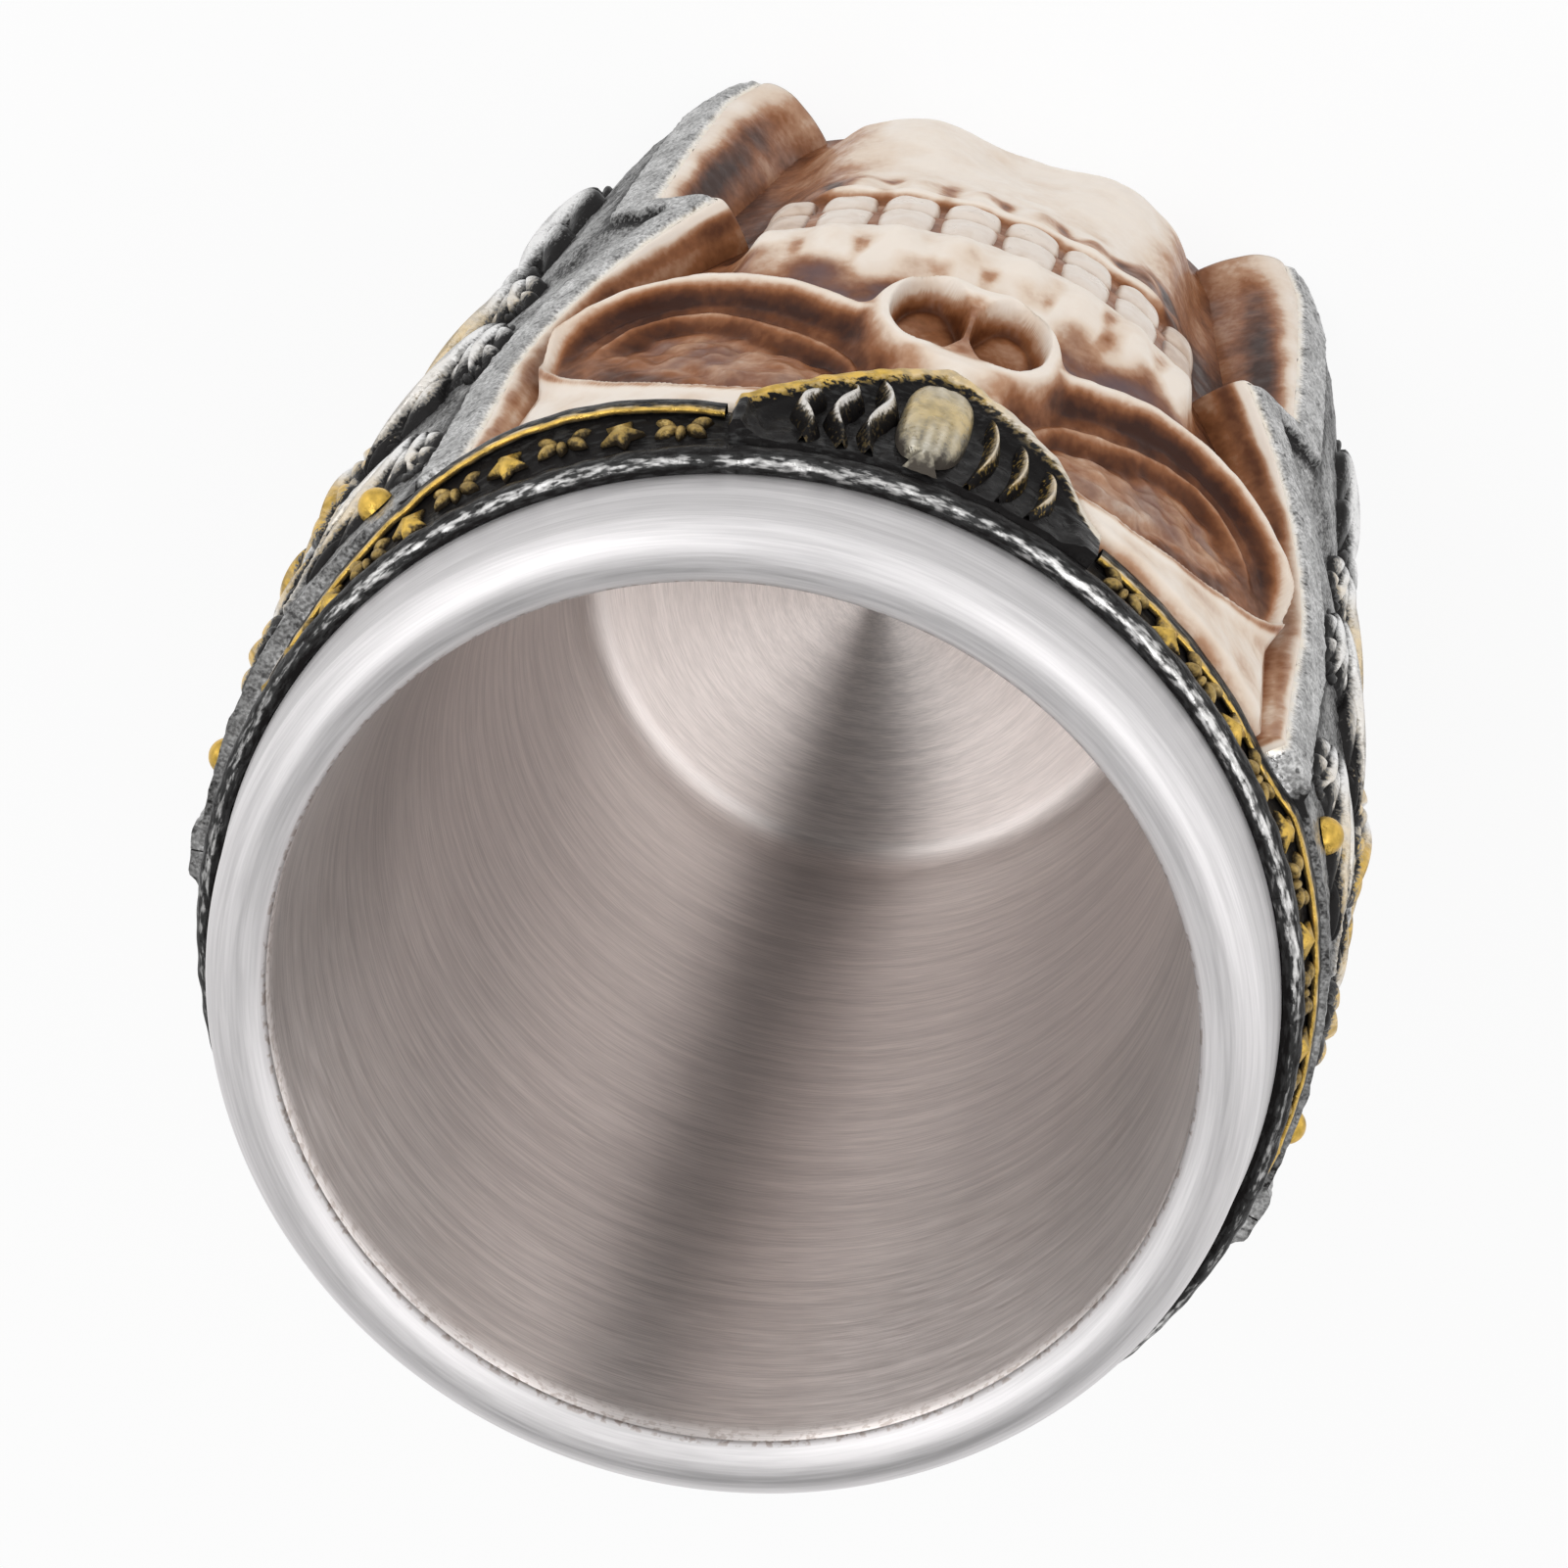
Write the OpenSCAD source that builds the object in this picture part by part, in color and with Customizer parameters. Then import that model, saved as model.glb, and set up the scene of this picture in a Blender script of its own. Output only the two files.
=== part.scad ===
// Skull mug: a steel cup in a cast body, a skull that wears an open helmet.
// Millimetres. The base stands on z = 0, +Z points to the mouth and the face looks along -Y.
// Places on the body are given by a turn t from the face, in degrees, and a height z.

/* [Steel cup] */
// Outside diameter of the lip at its widest circle
lip_d = 82; // [74:0.5:92]
// Width of the rolled lip, from its inner edge to its widest circle
lip_w = 4.9; // [4:0.1:6]
// Height of the lip's round top above its widest circle
lip_rise = 2; // [1.2:0.1:3]
// Height of the lip's inner edge above its widest circle
lip_edge_rise = 0.6; // [0:0.1:0.9]
// Height of the lip's widest circle above the collar
rim_stand = 6.4; // [4:0.1:12]
// How far the skirt below the lip flares out
skirt_flare = 1.1; // [0.5:0.1:2]
// Inside diameter at the floor, before its fillet
floor_d = 62.6; // [50:0.2:68]
// Radius of the fillet round the floor
floor_fillet = 3; // [1:0.5:6]
// Thickness of the steel
steel_t = 0.8; // [0.5:0.1:1.2]
// Thickness of the bedding between the cup and the body
bond_t = 0.5; // [0.3:0.1:1]

/* [Body] */
// Height of the skull, from the base to the underside of the head band
body_h = 102; // [92:0.5:114]
// Thickness of the base under the cup
base_t = 7.4; // [5:0.1:12]
// Thickness of the skull under the helmet
seat_t = 2; // [1.6:0.1:3]
// Half the turn of the face, where it meets the back of the skull
face_turn = 50; // [49.5:0.5:54]
// Bevel round the base
foot_bevel = 1.2; // [0.5:0.1:1.5]
// Joint line left between neighbouring pieces
seam = 0.08; // [0.04:0.01:0.15]

/* [Face] */
// How far the forehead stands out beyond the skull's seat
brow_rise = 0.9; // [0.6:0.1:1.4]
// Drop of the bite below the head band
bite_drop = 56; // [52:0.5:60]
// Sideways place of an orbit's middle, along the skin
orbit_s = 19.8; // [18.5:0.1:21]
// Drop of an orbit's middle below the head band
orbit_drop = 17.5; // [16:0.5:20]
// Half the length of an orbit, to the crest of its rim
orbit_a = 17.2; // [15:0.1:18]
// Half the height of an orbit, to the crest of its rim
orbit_b = 10.8; // [9:0.1:11.5]
// Droop of an orbit's outer corner, in degrees
orbit_tilt = 34; // [20:1:40]
// How far the orbit's lower rim stands out
orbit_rise = 3.7; // [2.5:0.1:4.5]
// Drop of the nose's middle below the head band
nose_drop = 22.5; // [21:0.5:24]
// Half the width of the nose, to the crest of its rim
nose_a = 7.3; // [6.5:0.1:8]
// Half the height of the nose, to the crest of its rim
nose_b = 8.4; // [7:0.1:9.5]
// How far the nose's lower rim stands out
nose_rise = 5.5; // [4:0.1:6.5]
// How far the upper jaw's ridge stands out
gum_rise = 4.6; // [3.5:0.1:5.5]
// How far the lower jaw stands out
jaw_rise = 3.9; // [3:0.1:5]
// How far the two bumps of the chin stand out
chin_bump = 1.2; // [0.5:0.1:2]
// Depth of the hollow between the chin's bumps
chin_cleft = 1.8; // [0:0.1:2.5]
// Height of the chin's bumps
chin_z = 15; // [12:0.5:18]
// Half the turn of the dental arch
arch_turn = 24; // [22:0.5:25]
// How far the dental arch draws in at its ends
arch_drop = 1.5; // [0:0.1:2]

/* [Teeth] */
// Teeth in each row, from side to side
tooth_count = 8; // [6:2:8]
// Turn from one tooth to the next, in degrees
tooth_pitch = 6.2; // [5.5:0.1:6.6]
// Gap between neighbouring teeth
tooth_gap = 0.5; // [0.2:0.1:1]
// Height of the upper teeth
upper_tooth_h = 7; // [5:0.5:8]
// Height of the lower teeth
lower_tooth_h = 5; // [4:0.5:7]
// How far the teeth stand out of their bed
tooth_t = 1.8; // [1:0.1:2.5]
// How far the bed behind the teeth stands out
bed_rise = 2.3; // [1.5:0.1:3]

/* [Head band] */
// Height of the band's gold edge
edge_h = 1.8; // [1.5:0.1:3]
// Thickness of the band's gold edge
edge_t = 0.8; // [0.5:0.1:1.2]
// Thickness of the band under the collar
channel_t = 1.2; // [1:0.1:2]
// How far the channel slopes out, from the collar to the edge
channel_slope = 1.3; // [0.8:0.1:2]
// Height of the channel
channel_h = 3.6; // [2.8:0.1:5]
// Height of the collar
collar_h = 2.8; // [2:0.1:4]
// Thickness of the collar
collar_t = 1.8; // [1.5:0.1:3]
// Number of star places round the band
star_count = 30; // [20:2:40]
// Tip radius of a star
star_r = 1.3; // [1:0.1:1.4]
// Thickness of a star
star_t = 0.7; // [0.4:0.1:1]

/* [Brow plate] */
// Half the turn of the brow plate at its top, in degrees
brow_turn = 19; // [15:0.5:20]
// Drop of the brow plate's point below the head band
brow_drop = 11; // [8:0.5:12]
// Thickness of the brow plate at its point
brow_t = 2.6; // [2:0.1:3.5]
// Thickness of the brow plate at its top
brow_top_t = 1.5; // [1:0.1:2]
// How far the plate's border stands out
brow_border = 0.6; // [0.3:0.1:1]
// Width of the boss
boss_w = 5.6; // [4:0.1:7]
// Height of the boss
boss_h = 11; // [8:0.1:13]
// How far the boss stands out
boss_t = 1.8; // [1:0.1:2.5]
// Ribs on each side of the boss
rib_count = 3; // [1:1:3]
// Turn from one rib to the next, in degrees
rib_pitch = 3.6; // [3:0.1:4]
// How far the ribs stand out
rib_t = 0.8; // [0.5:0.1:1.2]

/* [Helmet guards] */
// Turn of the guard's front edge beside the orbit
guard_edge = 47; // [46.5:0.1:47.5]
// Turn of the seam between the guards and the nape plate
guard_back = 100; // [92:1:110]
// How far the cheek tip reaches forward, in degrees
tip_reach = 16.5; // [10:0.1:17]
// Length of the cheek tip's curve above its point
tip_len = 33; // [26:0.5:36]
// Turn of the jaw guard's front edge, below the notch
jaw_edge = 37.5; // [36:0.1:40]
// Thickness of the guards at the top
guard_t = 2; // [1.5:0.1:3]
// Thickness of the guards at the sides of the base
side_t = 3.6; // [2.5:0.1:5]
// How far the guards bulge out at the middle of their height
side_bulge = 1.8; // [0:0.1:3]
// Thickness of the jaw tips at the base
jaw_tip_t = 7.6; // [5.5:0.1:9]
// Width of the guard's border, in degrees
border_w = 5; // [3:0.1:7]
// Depth of the field behind the border
field_depth = 0.8; // [0.4:0.1:1.2]
// Height of the guards above the table
guard_lift = 1.5; // [1:0.1:3]
// Thickness of the leaf reliefs
leaf_t = 1.6; // [0.8:0.1:2]
// Thickness of the jaw scale
scale_t = 1.8; // [1:0.1:2.5]
// Diameter of a stud
stud_d = 3.2; // [2.4:0.1:4]

/* [Hidden] */

$fn = 96;

// Heights of the stack on the steel axis
band_z = body_h;
collar_z = band_z + edge_h + channel_h;
collar_top = collar_z + collar_h;
lip_z = collar_top + rim_stand;
lip_edge_z = lip_z + lip_edge_rise;
cup_floor_z = base_t + steel_t;
neck_top = collar_top - 1;

// Radii of the steel and of the rings round it
lip_r = lip_d / 2;
lip_step = 0.15;
cup_top_r = lip_r - lip_w + lip_step;
cup_floor_r = floor_d / 2;
sleeve_r = lip_r + skirt_flare;
neck_r = sleeve_r - steel_t - seam;
channel_r = sleeve_r + channel_t;
shelf_r = channel_r + channel_slope;
edge_r = shelf_r + edge_t;
collar_r = sleeve_r + collar_t;

// Radii of the skull and of what is seated on it
core_r = sleeve_r + 0.2;
seat_r = core_r + seat_t;
face_r = seat_r + brow_rise;
bed_r = seat_r + bed_rise;
brow_seat_r = seat_r + 0.2;
guard_seat_r = seat_r + seam;

// Skin length for one degree of turn, at the face's mean radius
skin = (seat_r + 2.7) * PI / 180;

// Smooth step from 0 at a to 1 at b, a bell curve, and lists of even steps
function clamp01(x) = min(1, max(0, x));
function ease(x) = x * x * (3 - 2 * x);
function step(a, b, x) = ease(clamp01((x - a) / (b - a)));
function bell(x, w) = exp(-pow(x / w, 2));
function mix(a, b, f) = a + (b - a) * f;
function spread(a, b, n) = [for (i = [0:n]) mix(a, b, i / n)];

// A point on the body from its turn, radius and height
function place(t, r, z) = [r * sin(t), -r * cos(t), z];

// Triangles of a grid of points with n a column, each cell cut along the diagonal that is more level
function depth(p) = norm([p[0], p[1]]);
function cell_faces(points, a, b, c, d) =
  abs(depth(points[a]) - depth(points[c])) < abs(depth(points[b]) - depth(points[d]))
    ? [[a, b, c], [a, c, d]]
    : [[a, b, d], [b, c, d]];
function grid_faces(points, n) = [for (i = [0:len(points) / n - 2]) for (j = [0:n - 2])
  let (a = i * n + j)
  each cell_faces(points, a, a + 1, a + n + 1, a + n)];

// A closed solid between two grids of points, outer and inner, with n points a column
module solid_between(outer, inner, n) {
  count = len(outer);
  last = count / n - 1;
  skins = grid_faces(outer, n);
  backs = [for (f = skins) [f[2] + count, f[1] + count, f[0] + count]];
  starts = [for (j = [0:n - 2]) [j + 1, j]];
  ends = [for (j = [0:n - 2]) [last * n + j, last * n + j + 1]];
  tops = [for (i = [0:last - 1]) [(i + 1) * n + n - 1, i * n + n - 1]];
  feet = [for (i = [0:last - 1]) [i * n, (i + 1) * n]];
  sides = [for (e = concat(starts, ends, tops, feet))
    each [[e[0], e[1], e[1] + count], [e[0], e[1] + count, e[0] + count]]];
  polyhedron(concat(outer, inner), concat(skins, backs, sides), convexity = 8);
}

// A mask over a grid of turns and heights, on a plain round back of radius r_in
module mask(turns, heights, r_out, r_in) {
  n = len(heights);
  last = len(turns) - 1;
  count = len(turns) * n;
  outer = [for (t = turns) for (z = heights) place(t, r_out(t, z), z)];
  inner = [for (t = turns) each [place(t, r_in, heights[0]), place(t, r_in, heights[n - 1])]];
  backs = [for (i = [0:last - 1])
    let (a = count + 2 * i)
    each [[a, a + 2, a + 3], [a, a + 3, a + 1]]];
  low = function (i) count + 2 * i;
  high = function (i) count + 2 * i + 1;
  start = concat([for (j = [0:n - 2]) [j + 1, j, low(0)]], [[low(0), high(0), n - 1]]);
  end = concat([for (j = [0:n - 2]) [last * n + j, last * n + j + 1, low(last)]],
    [[count - 1, high(last), low(last)]]);
  top = [for (i = [0:last - 1])
    let (a = i * n + n - 1)
    each [[a + n, a, high(i)], [a + n, high(i), high(i + 1)]]];
  foot = [for (i = [0:last - 1])
    let (a = i * n)
    each [[a, a + n, low(i + 1)], [a, low(i + 1), low(i)]]];
  skins = grid_faces(outer, n);
  polyhedron(concat(outer, inner), concat(skins, backs, start, end, top, foot), convexity = 8);
}

// A leaf-shaped relief on a skin, from its middle, heading, length, width, sideways bend and rise
module relief(t0, z0, heading, length, width, bend, r_under, rise) {
  along = function (u) length * (u - 0.5);
  half = function (u) width / 2 * pow(sin(180 * mix(0.06, 0.94, u)), 0.8);
  across = function (u, v) bend * sin(180 * u) + half(u) * v;
  turn = function (u, v) t0 + (along(u) * cos(heading) - across(u, v) * sin(heading)) / skin;
  height = function (u, v) z0 + along(u) * sin(heading) + across(u, v) * cos(heading);
  crest = function (u, v) rise * (0.25 + 0.75 * (1 - v * v) * sin(180 * mix(0.12, 0.88, u)));
  seat = function (u, v) r_under(turn(u, v), height(u, v)) + seam;
  us = spread(0, 1, 6);
  vs = spread(-1, 1, 4);
  solid_between([for (u = us) for (v = vs) place(turn(u, v), seat(u, v) + crest(u, v), height(u, v))],
    [for (u = us) for (v = vs) place(turn(u, v), seat(u, v), height(u, v))], len(vs));
}

// Brow plate: the height of its lower edge at a turn, the radius of its face, and the place under it
brow_point_z = band_z - brow_drop;
brow_end_z = band_z + 0.4;
brow_margin = 1.3;
function brow_low(t) = mix(brow_point_z, brow_end_z, pow(min(1, abs(t) / brow_turn), 1.15));
function brow_face(z) =
  mix(brow_seat_r + brow_t, channel_r + brow_top_t, clamp01((z - brow_point_z) / (collar_z - brow_point_z)));
function under_brow(t, z) =
  let (low = brow_low(t) - brow_margin)
  step(brow_turn + 3, brow_turn + 1.5, abs(t)) * step(low - 1.2, low, z);

// Guard: turns of its front edge outside and at its foot, and the radius of its face
bite_z = band_z - bite_drop;
tip_z = bite_z;
notch_h = 5.5;
function jaw_line(z) = jaw_edge - 0.085 * (tip_z - 10 - z) - 2.5 * step(8, 0, z);
function guard_front(z) =
  z >= tip_z ? guard_edge - tip_reach * pow(clamp01(1 - (z - tip_z) / tip_len), 1.6)
    : mix(jaw_line(z), guard_edge - tip_reach, step(tip_z - notch_h, tip_z, z));
function guard_foot(z) = guard_front(z) - mix(6, 1.4, step(0, 60, z));
function guard_clear(t, z) = step(1.5, 3.7, guard_foot(z) - abs(t));
function guard_side(z) =
  seat_r + mix(side_t, guard_t, step(0, band_z, z)) + side_bulge * bell(z - 0.68 * band_z, 0.22 * band_z);
function guard_rim(z) = seat_r + mix(jaw_tip_t, guard_t, step(0, band_z * 1.08, z));
function guard_face(t, z) =
  let (d = t - guard_front(z))
  let (field = field_depth * step(border_w, border_w + 1.2, d) * step(2.5, 3.7, guard_back - t))
  let (bevel = 0.5 * step(0.8, 0, d))
  mix(guard_rim(z), guard_side(z), step(2, 26, d)) - field - bevel;

// Orbit: distance from the crest of its rim, negative inside, and the radius of its rim and hollow
orbit_z = band_z - orbit_drop;
orbit_floor_r = core_r + 0.7;
function orbit_u(s, z) = (s - orbit_s) * cos(orbit_tilt) - (z - orbit_z) * sin(orbit_tilt);
function orbit_v(s, z) = (s - orbit_s) * sin(orbit_tilt) + (z - orbit_z) * cos(orbit_tilt);
function orbit_q(u, v) = pow(pow(abs(u) / orbit_a, 2.4) + pow(abs(v) / orbit_b, 2.4), 1 / 2.4);
function orbit_d(u, v) = norm([u, v]) * (1 - 1 / max(0.05, orbit_q(u, v)));
function orbit_rim(z) = mix(seat_r + orbit_rise, face_r, step(orbit_z - orbit_b, orbit_z + orbit_b, z));
function orbit_hollow(rim, e) =
  max(orbit_floor_r + 0.9 * step(6.5, 10, e),
    rim - 3.3 * step(0.2, 3.4, e) + 0.6 * bell(e - 5, 1.2) - 2.8 * step(5.6, 8.5, e));
function orbit_skin(s, z, base) =
  let (d = orbit_d(orbit_u(s, z), orbit_v(s, z)))
  let (rim = orbit_rim(z))
  d > 0 ? max(base, mix(base, rim, bell(d, 2.6))) : orbit_hollow(rim, -d);

// Nose: the rim's radius, the distance from its crest, and the two openings
nose_z = band_z - nose_drop;
hole_s = nose_a * 0.46;
hole_z = nose_z - 1;
hole_floor_r = face_r - 0.4;
function nose_rim(z) = seat_r + nose_rise - 0.13 * (z - nose_z + nose_b);
function nose_d(s, z) =
  let (q = norm([s / nose_a, (z - nose_z) / nose_b]))
  norm([s, z - nose_z]) * (1 - 1 / max(0.05, q));
function hole_q(s, z) = norm([(abs(s) - hole_s) / (nose_a * 0.42), (z - hole_z) / (nose_b * 0.78)]);
function nose_skin(s, z, base) =
  let (d = nose_d(s, z))
  let (lip = d > 0 ? mix(base, nose_rim(z), bell(d, 1.9)) : nose_rim(z))
  mix(max(base, lip), hole_floor_r, step(1.04, 0.76, hole_q(s, z)));

// Skull above the bite: upper jaw, bridge of the nose, then the whole skin
neck_z = bite_z + upper_tooth_h;
gum_z = neck_z + 4.5;
function root_wave(t) = -cos(360 * t / tooth_pitch) * (tooth_count % 4 == 0 ? 1 : -1);
function arch(t) = step(arch_turn + 3.5, arch_turn - 2.5, abs(t));
function arch_in(t) = arch_drop * pow(abs(t) / arch_turn, 2);
function tooth_bed(t) = mix(seat_r, bed_r - arch_in(t), arch(t));
function upper_bone(t, z) =
  let (crest = seat_r + gum_rise - arch_in(t) + 0.35 * root_wave(t) * bell(z - gum_z, 4))
  let (gum = crest - (gum_rise - bed_rise) * 0.4 * step(gum_z, neck_z - 0.5, z))
  z < neck_z ? tooth_bed(t) : mix(mix(face_r - 0.7, gum, arch(t)), face_r - 0.3, step(gum_z, gum_z + 12, z));
function bridge(s, z) =
  1.6 * bell(s, 4) * step(nose_z - 2, nose_z + 8, z) * step(orbit_z + 12, orbit_z + 4, z);
function upper_skin(t, z) =
  let (s = t * skin)
  let (nosed = nose_skin(s, z, upper_bone(t, z) + bridge(s, z)))
  let (eyed = orbit_skin(abs(s), z, nosed))
  let (edged = mix(seat_r, eyed, guard_clear(t, z)))
  mix(edged, min(edged, brow_seat_r), under_brow(t, z));

// Skull below the bite: bed of the teeth, gum, jaw and chin
root_z = bite_z - lower_tooth_h;
foot_z = 3;
jaw_round = 9;
function jaw_front(t, z) =
  seat_r + jaw_rise - 0.6 * arch_in(t) + 0.3 * root_wave(t) * bell(z - root_z + 5, 4)
  + chin_bump * bell(abs(t) - 12, 6) * bell(z - chin_z, 8) - chin_cleft * bell(t, 7) * bell(z - chin_z, 10)
  - 0.5 * bell(z - root_z + 12, 5);
function jaw_foot(z) = sqrt(step(foot_z, foot_z + jaw_round, z));
function jaw_side(t) = step(arch_turn + 2.5, arch_turn - 7.5, abs(t));
function jaw_skin(t, z) =
  z > root_z - 0.2 ? mix(seat_r, tooth_bed(t), guard_clear(t, z))
    : mix(seat_r, jaw_front(t, z), jaw_foot(z) * jaw_side(t) * guard_clear(t, z));

// Nape plate: radius of its face, with a raised border and keel
nape_half = 180 - guard_back;
keel_half = 2.5;
function nape_face(t, z) =
  let (from_edge = nape_half - abs(t - 180))
  let (from_keel = abs(t - 180))
  guard_side(z) - field_depth * step(2.5, 3.7, from_edge) * step(keel_half, keel_half + 1.5, from_keel);

// Steel

// Outline of the cup's fillet, enlarged by a thickness
function floor_curve(extra) = [for (a = [-75:15:0])
  [cup_floor_r - floor_fillet + (floor_fillet + extra) * cos(a),
    cup_floor_z + floor_fillet + (floor_fillet + extra) * sin(a)]];
function reversed(list) = [for (i = [len(list) - 1:-1:0]) list[i]];
floor_flat_r = cup_floor_r - floor_fillet;

module inner_cup() {
  color("silver")
    rotate_extrude()
      polygon(concat([[0, base_t], [floor_flat_r, base_t]], floor_curve(steel_t),
        [[cup_top_r + steel_t, lip_edge_z], [cup_top_r, lip_edge_z]],
        reversed(floor_curve(0)), [[floor_flat_r, cup_floor_z], [0, cup_floor_z]]));
}

// Outline of the rolled lip from its inner edge outward, drawn in by a thickness
function lip_curve(inset) = [for (a = [180:-12:0])
  let (low = a > 90 ? lip_edge_z : lip_z)
  [lip_r - lip_w / 2 + (lip_w / 2 - inset) * cos(a), low + (lip_z + lip_rise - inset - low) * sin(a)]];

module rim_sleeve() {
  inner_r = sleeve_r - steel_t;
  color("gainsboro")
    rotate_extrude()
      polygon(concat(lip_curve(0),
        [[sleeve_r, collar_top], [sleeve_r, band_z], [inner_r, band_z], [inner_r, collar_top]],
        reversed(lip_curve(steel_t))));
}

// Outside radius of the cup above its fillet
bond_z = cup_floor_z + floor_fillet;
function cup_out(z) = mix(cup_floor_r, cup_top_r, (z - bond_z) / (lip_edge_z - bond_z)) + steel_t;

module liner_bond() {
  color("tan")
    rotate_extrude()
      polygon([[cup_out(bond_z), bond_z], [cup_out(bond_z) + bond_t, bond_z],
        [cup_out(neck_top) + bond_t, neck_top], [cup_out(neck_top), neck_top]]);
}

// Skull

module skull_body() {
  color("tan")
    rotate_extrude()
      polygon(concat([[0, 0], [core_r - foot_bevel, 0], [core_r, foot_bevel], [core_r, band_z],
        [neck_r, band_z], [neck_r, neck_top], [cup_out(neck_top) + bond_t, neck_top],
        [cup_out(bond_z) + bond_t, bond_z]],
        reversed(floor_curve(steel_t)), [[floor_flat_r, base_t], [0, base_t]]));
}

module skull_back() {
  color("burlywood")
    rotate([0, 0, face_turn - 90])
      rotate_extrude(angle = 360 - 2 * face_turn)
        polygon([[core_r + seam, foot_bevel], [seat_r - foot_bevel, foot_bevel], [seat_r, 2 * foot_bevel],
          [seat_r, band_z], [core_r + seam, band_z]]);
}

// Grids of the face and of the lower jaw, closer together round the nose and the teeth
nose_turn = 12;
face_columns = concat(spread(-face_turn, -nose_turn - 1.4, 25), spread(-nose_turn, nose_turn, 28),
  spread(nose_turn + 1.4, face_turn, 25));
face_rows = concat(spread(bite_z + seam, neck_z - 0.5, 2), spread(neck_z, band_z, 44));
jaw_columns = spread(-face_turn, face_turn, 42);
jaw_rows = concat(spread(0, foot_z + jaw_round, 7), spread(foot_z + jaw_round + 2.5, root_z - 0.4, 10),
  [root_z, bite_z - seam]);

module skull_face() {
  color("bisque")
    mask(face_columns, face_rows, function (t, z) upper_skin(t, z), core_r + seam);
}

module mandible() {
  color("wheat")
    mask(jaw_columns, jaw_rows, function (t, z) jaw_skin(t, z), core_r + seam);
}

// One tooth: a rounded block over its bed
tooth_edge_t = 0.5;
module tooth(t, z_low, z_high) {
  half = tooth_pitch / 2 - tooth_gap / 2 / skin;
  dome = function (x) sqrt(max(0, 1 - pow(abs(x), 3)));
  crown = function (u, v) tooth_edge_t + (tooth_t - tooth_edge_t) * dome(u) * dome(v);
  bed = function (u) tooth_bed(t + half * u) + seam;
  us = spread(-1, 1, 4);
  solid_between(
    [for (u = us) for (v = us) place(t + half * u, bed(u) + crown(u, v), mix(z_low, z_high, (v + 1) / 2))],
    [for (u = us) for (v = us) place(t + half * u, bed(u), mix(z_low, z_high, (v + 1) / 2))],
    len(us));
}

module tooth_row(z_low, z_high)
  for (i = [0:tooth_count - 1])
    tooth((i - (tooth_count - 1) / 2) * tooth_pitch, z_low, z_high);

module upper_teeth() { color("ivory") tooth_row(bite_z + seam, neck_z - 0.5 - seam); }
module lower_teeth() { color("ivory") tooth_row(root_z + seam, bite_z - seam); }

// Head band

module collar_ring() {
  round_r = min(collar_h / 2, collar_t * 0.6);
  color("dimgray")
    rotate_extrude()
      polygon(concat([[sleeve_r + seam, collar_z]],
        [for (a = [-90:15:90])
          [collar_r - round_r + round_r * cos(a), collar_z + collar_h / 2 * (1 + sin(a))]],
        [[sleeve_r + seam, collar_top]]));
}

shelf_z = band_z + edge_h * 0.6;

module head_band() {
  color("black")
    rotate_extrude()
      polygon([[sleeve_r + seam, band_z], [shelf_r, band_z], [shelf_r, shelf_z],
        [channel_r, collar_z], [sleeve_r + seam, collar_z]]);
}

module band_edge() {
  color("goldenrod")
    rotate([0, 0, brow_turn + 1 - 90])
      rotate_extrude(angle = 360 - 2 * brow_turn - 2)
        polygon([[shelf_r, band_z], [edge_r, band_z], [edge_r, shelf_z],
          [edge_r - edge_t * 0.4, band_z + edge_h], [shelf_r, band_z + edge_h]]);
}

// One five-pointed star, flat on the channel's slope
function star_tip(i) = (i % 2 == 0 ? star_r : star_r * 0.5) * [sin(36 * i), cos(36 * i)];
module star()
  rotate([90 - atan2(channel_slope, collar_z - shelf_z), 0, 0])
    translate([0, 0, seam])
      linear_extrude(star_t)
        polygon([for (i = [0:9]) star_tip(i)]);

module band_stars() {
  clear = brow_turn + 4;
  color("gold")
    for (i = [0:star_count - 1]) {
      t = 360 / star_count * (i + 0.5);
      if (t > clear && t < 360 - clear)
        rotate([0, 0, t])
          translate([0, -(channel_r + shelf_r) / 2, (shelf_z + collar_z) / 2])
            star();
    }
}

// Brow plate

brow_columns = spread(-brow_turn, brow_turn, 20);
brow_levels = [0, 0.12, 0.2, 0.4, 0.6, 0.8, 1];

module brow_plate() {
  height = function (t, f) mix(brow_low(t), collar_z, f);
  border = function (t, f) max(step(0.2, 0.1, f), step(brow_turn - 2.4, brow_turn - 1.6, abs(t)));
  face = function (t, f) brow_face(height(t, f)) + brow_border * border(t, f);
  seat = brow_seat_r + seam;
  color("darkslategray")
    solid_between(
      [for (t = brow_columns) for (f = brow_levels) place(t, face(t, f), height(t, f))],
      [for (t = brow_columns) for (f = brow_levels) place(t, seat, height(t, f))],
      len(brow_levels));
}

boss_z = (brow_point_z + collar_z) / 2 + 1.5;

module brow_boss() {
  color("darkkhaki")
    relief(0, boss_z, 90, boss_h, boss_w, 0, function (t, z) brow_face(z), boss_t);
}

module brow_ribs() {
  color("lightgray")
    for (side = [-1, 1])
      for (i = [1:rib_count])
        relief(side * (boss_w / 2 / skin + rib_pitch * (i - 0.35)), boss_z + 1.2 * i, 90 - side * 12,
          boss_h * (1 - 0.2 * i), 1.6, -side * 0.9, function (t, z) brow_face(z), rib_t);
}

// Guards

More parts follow.
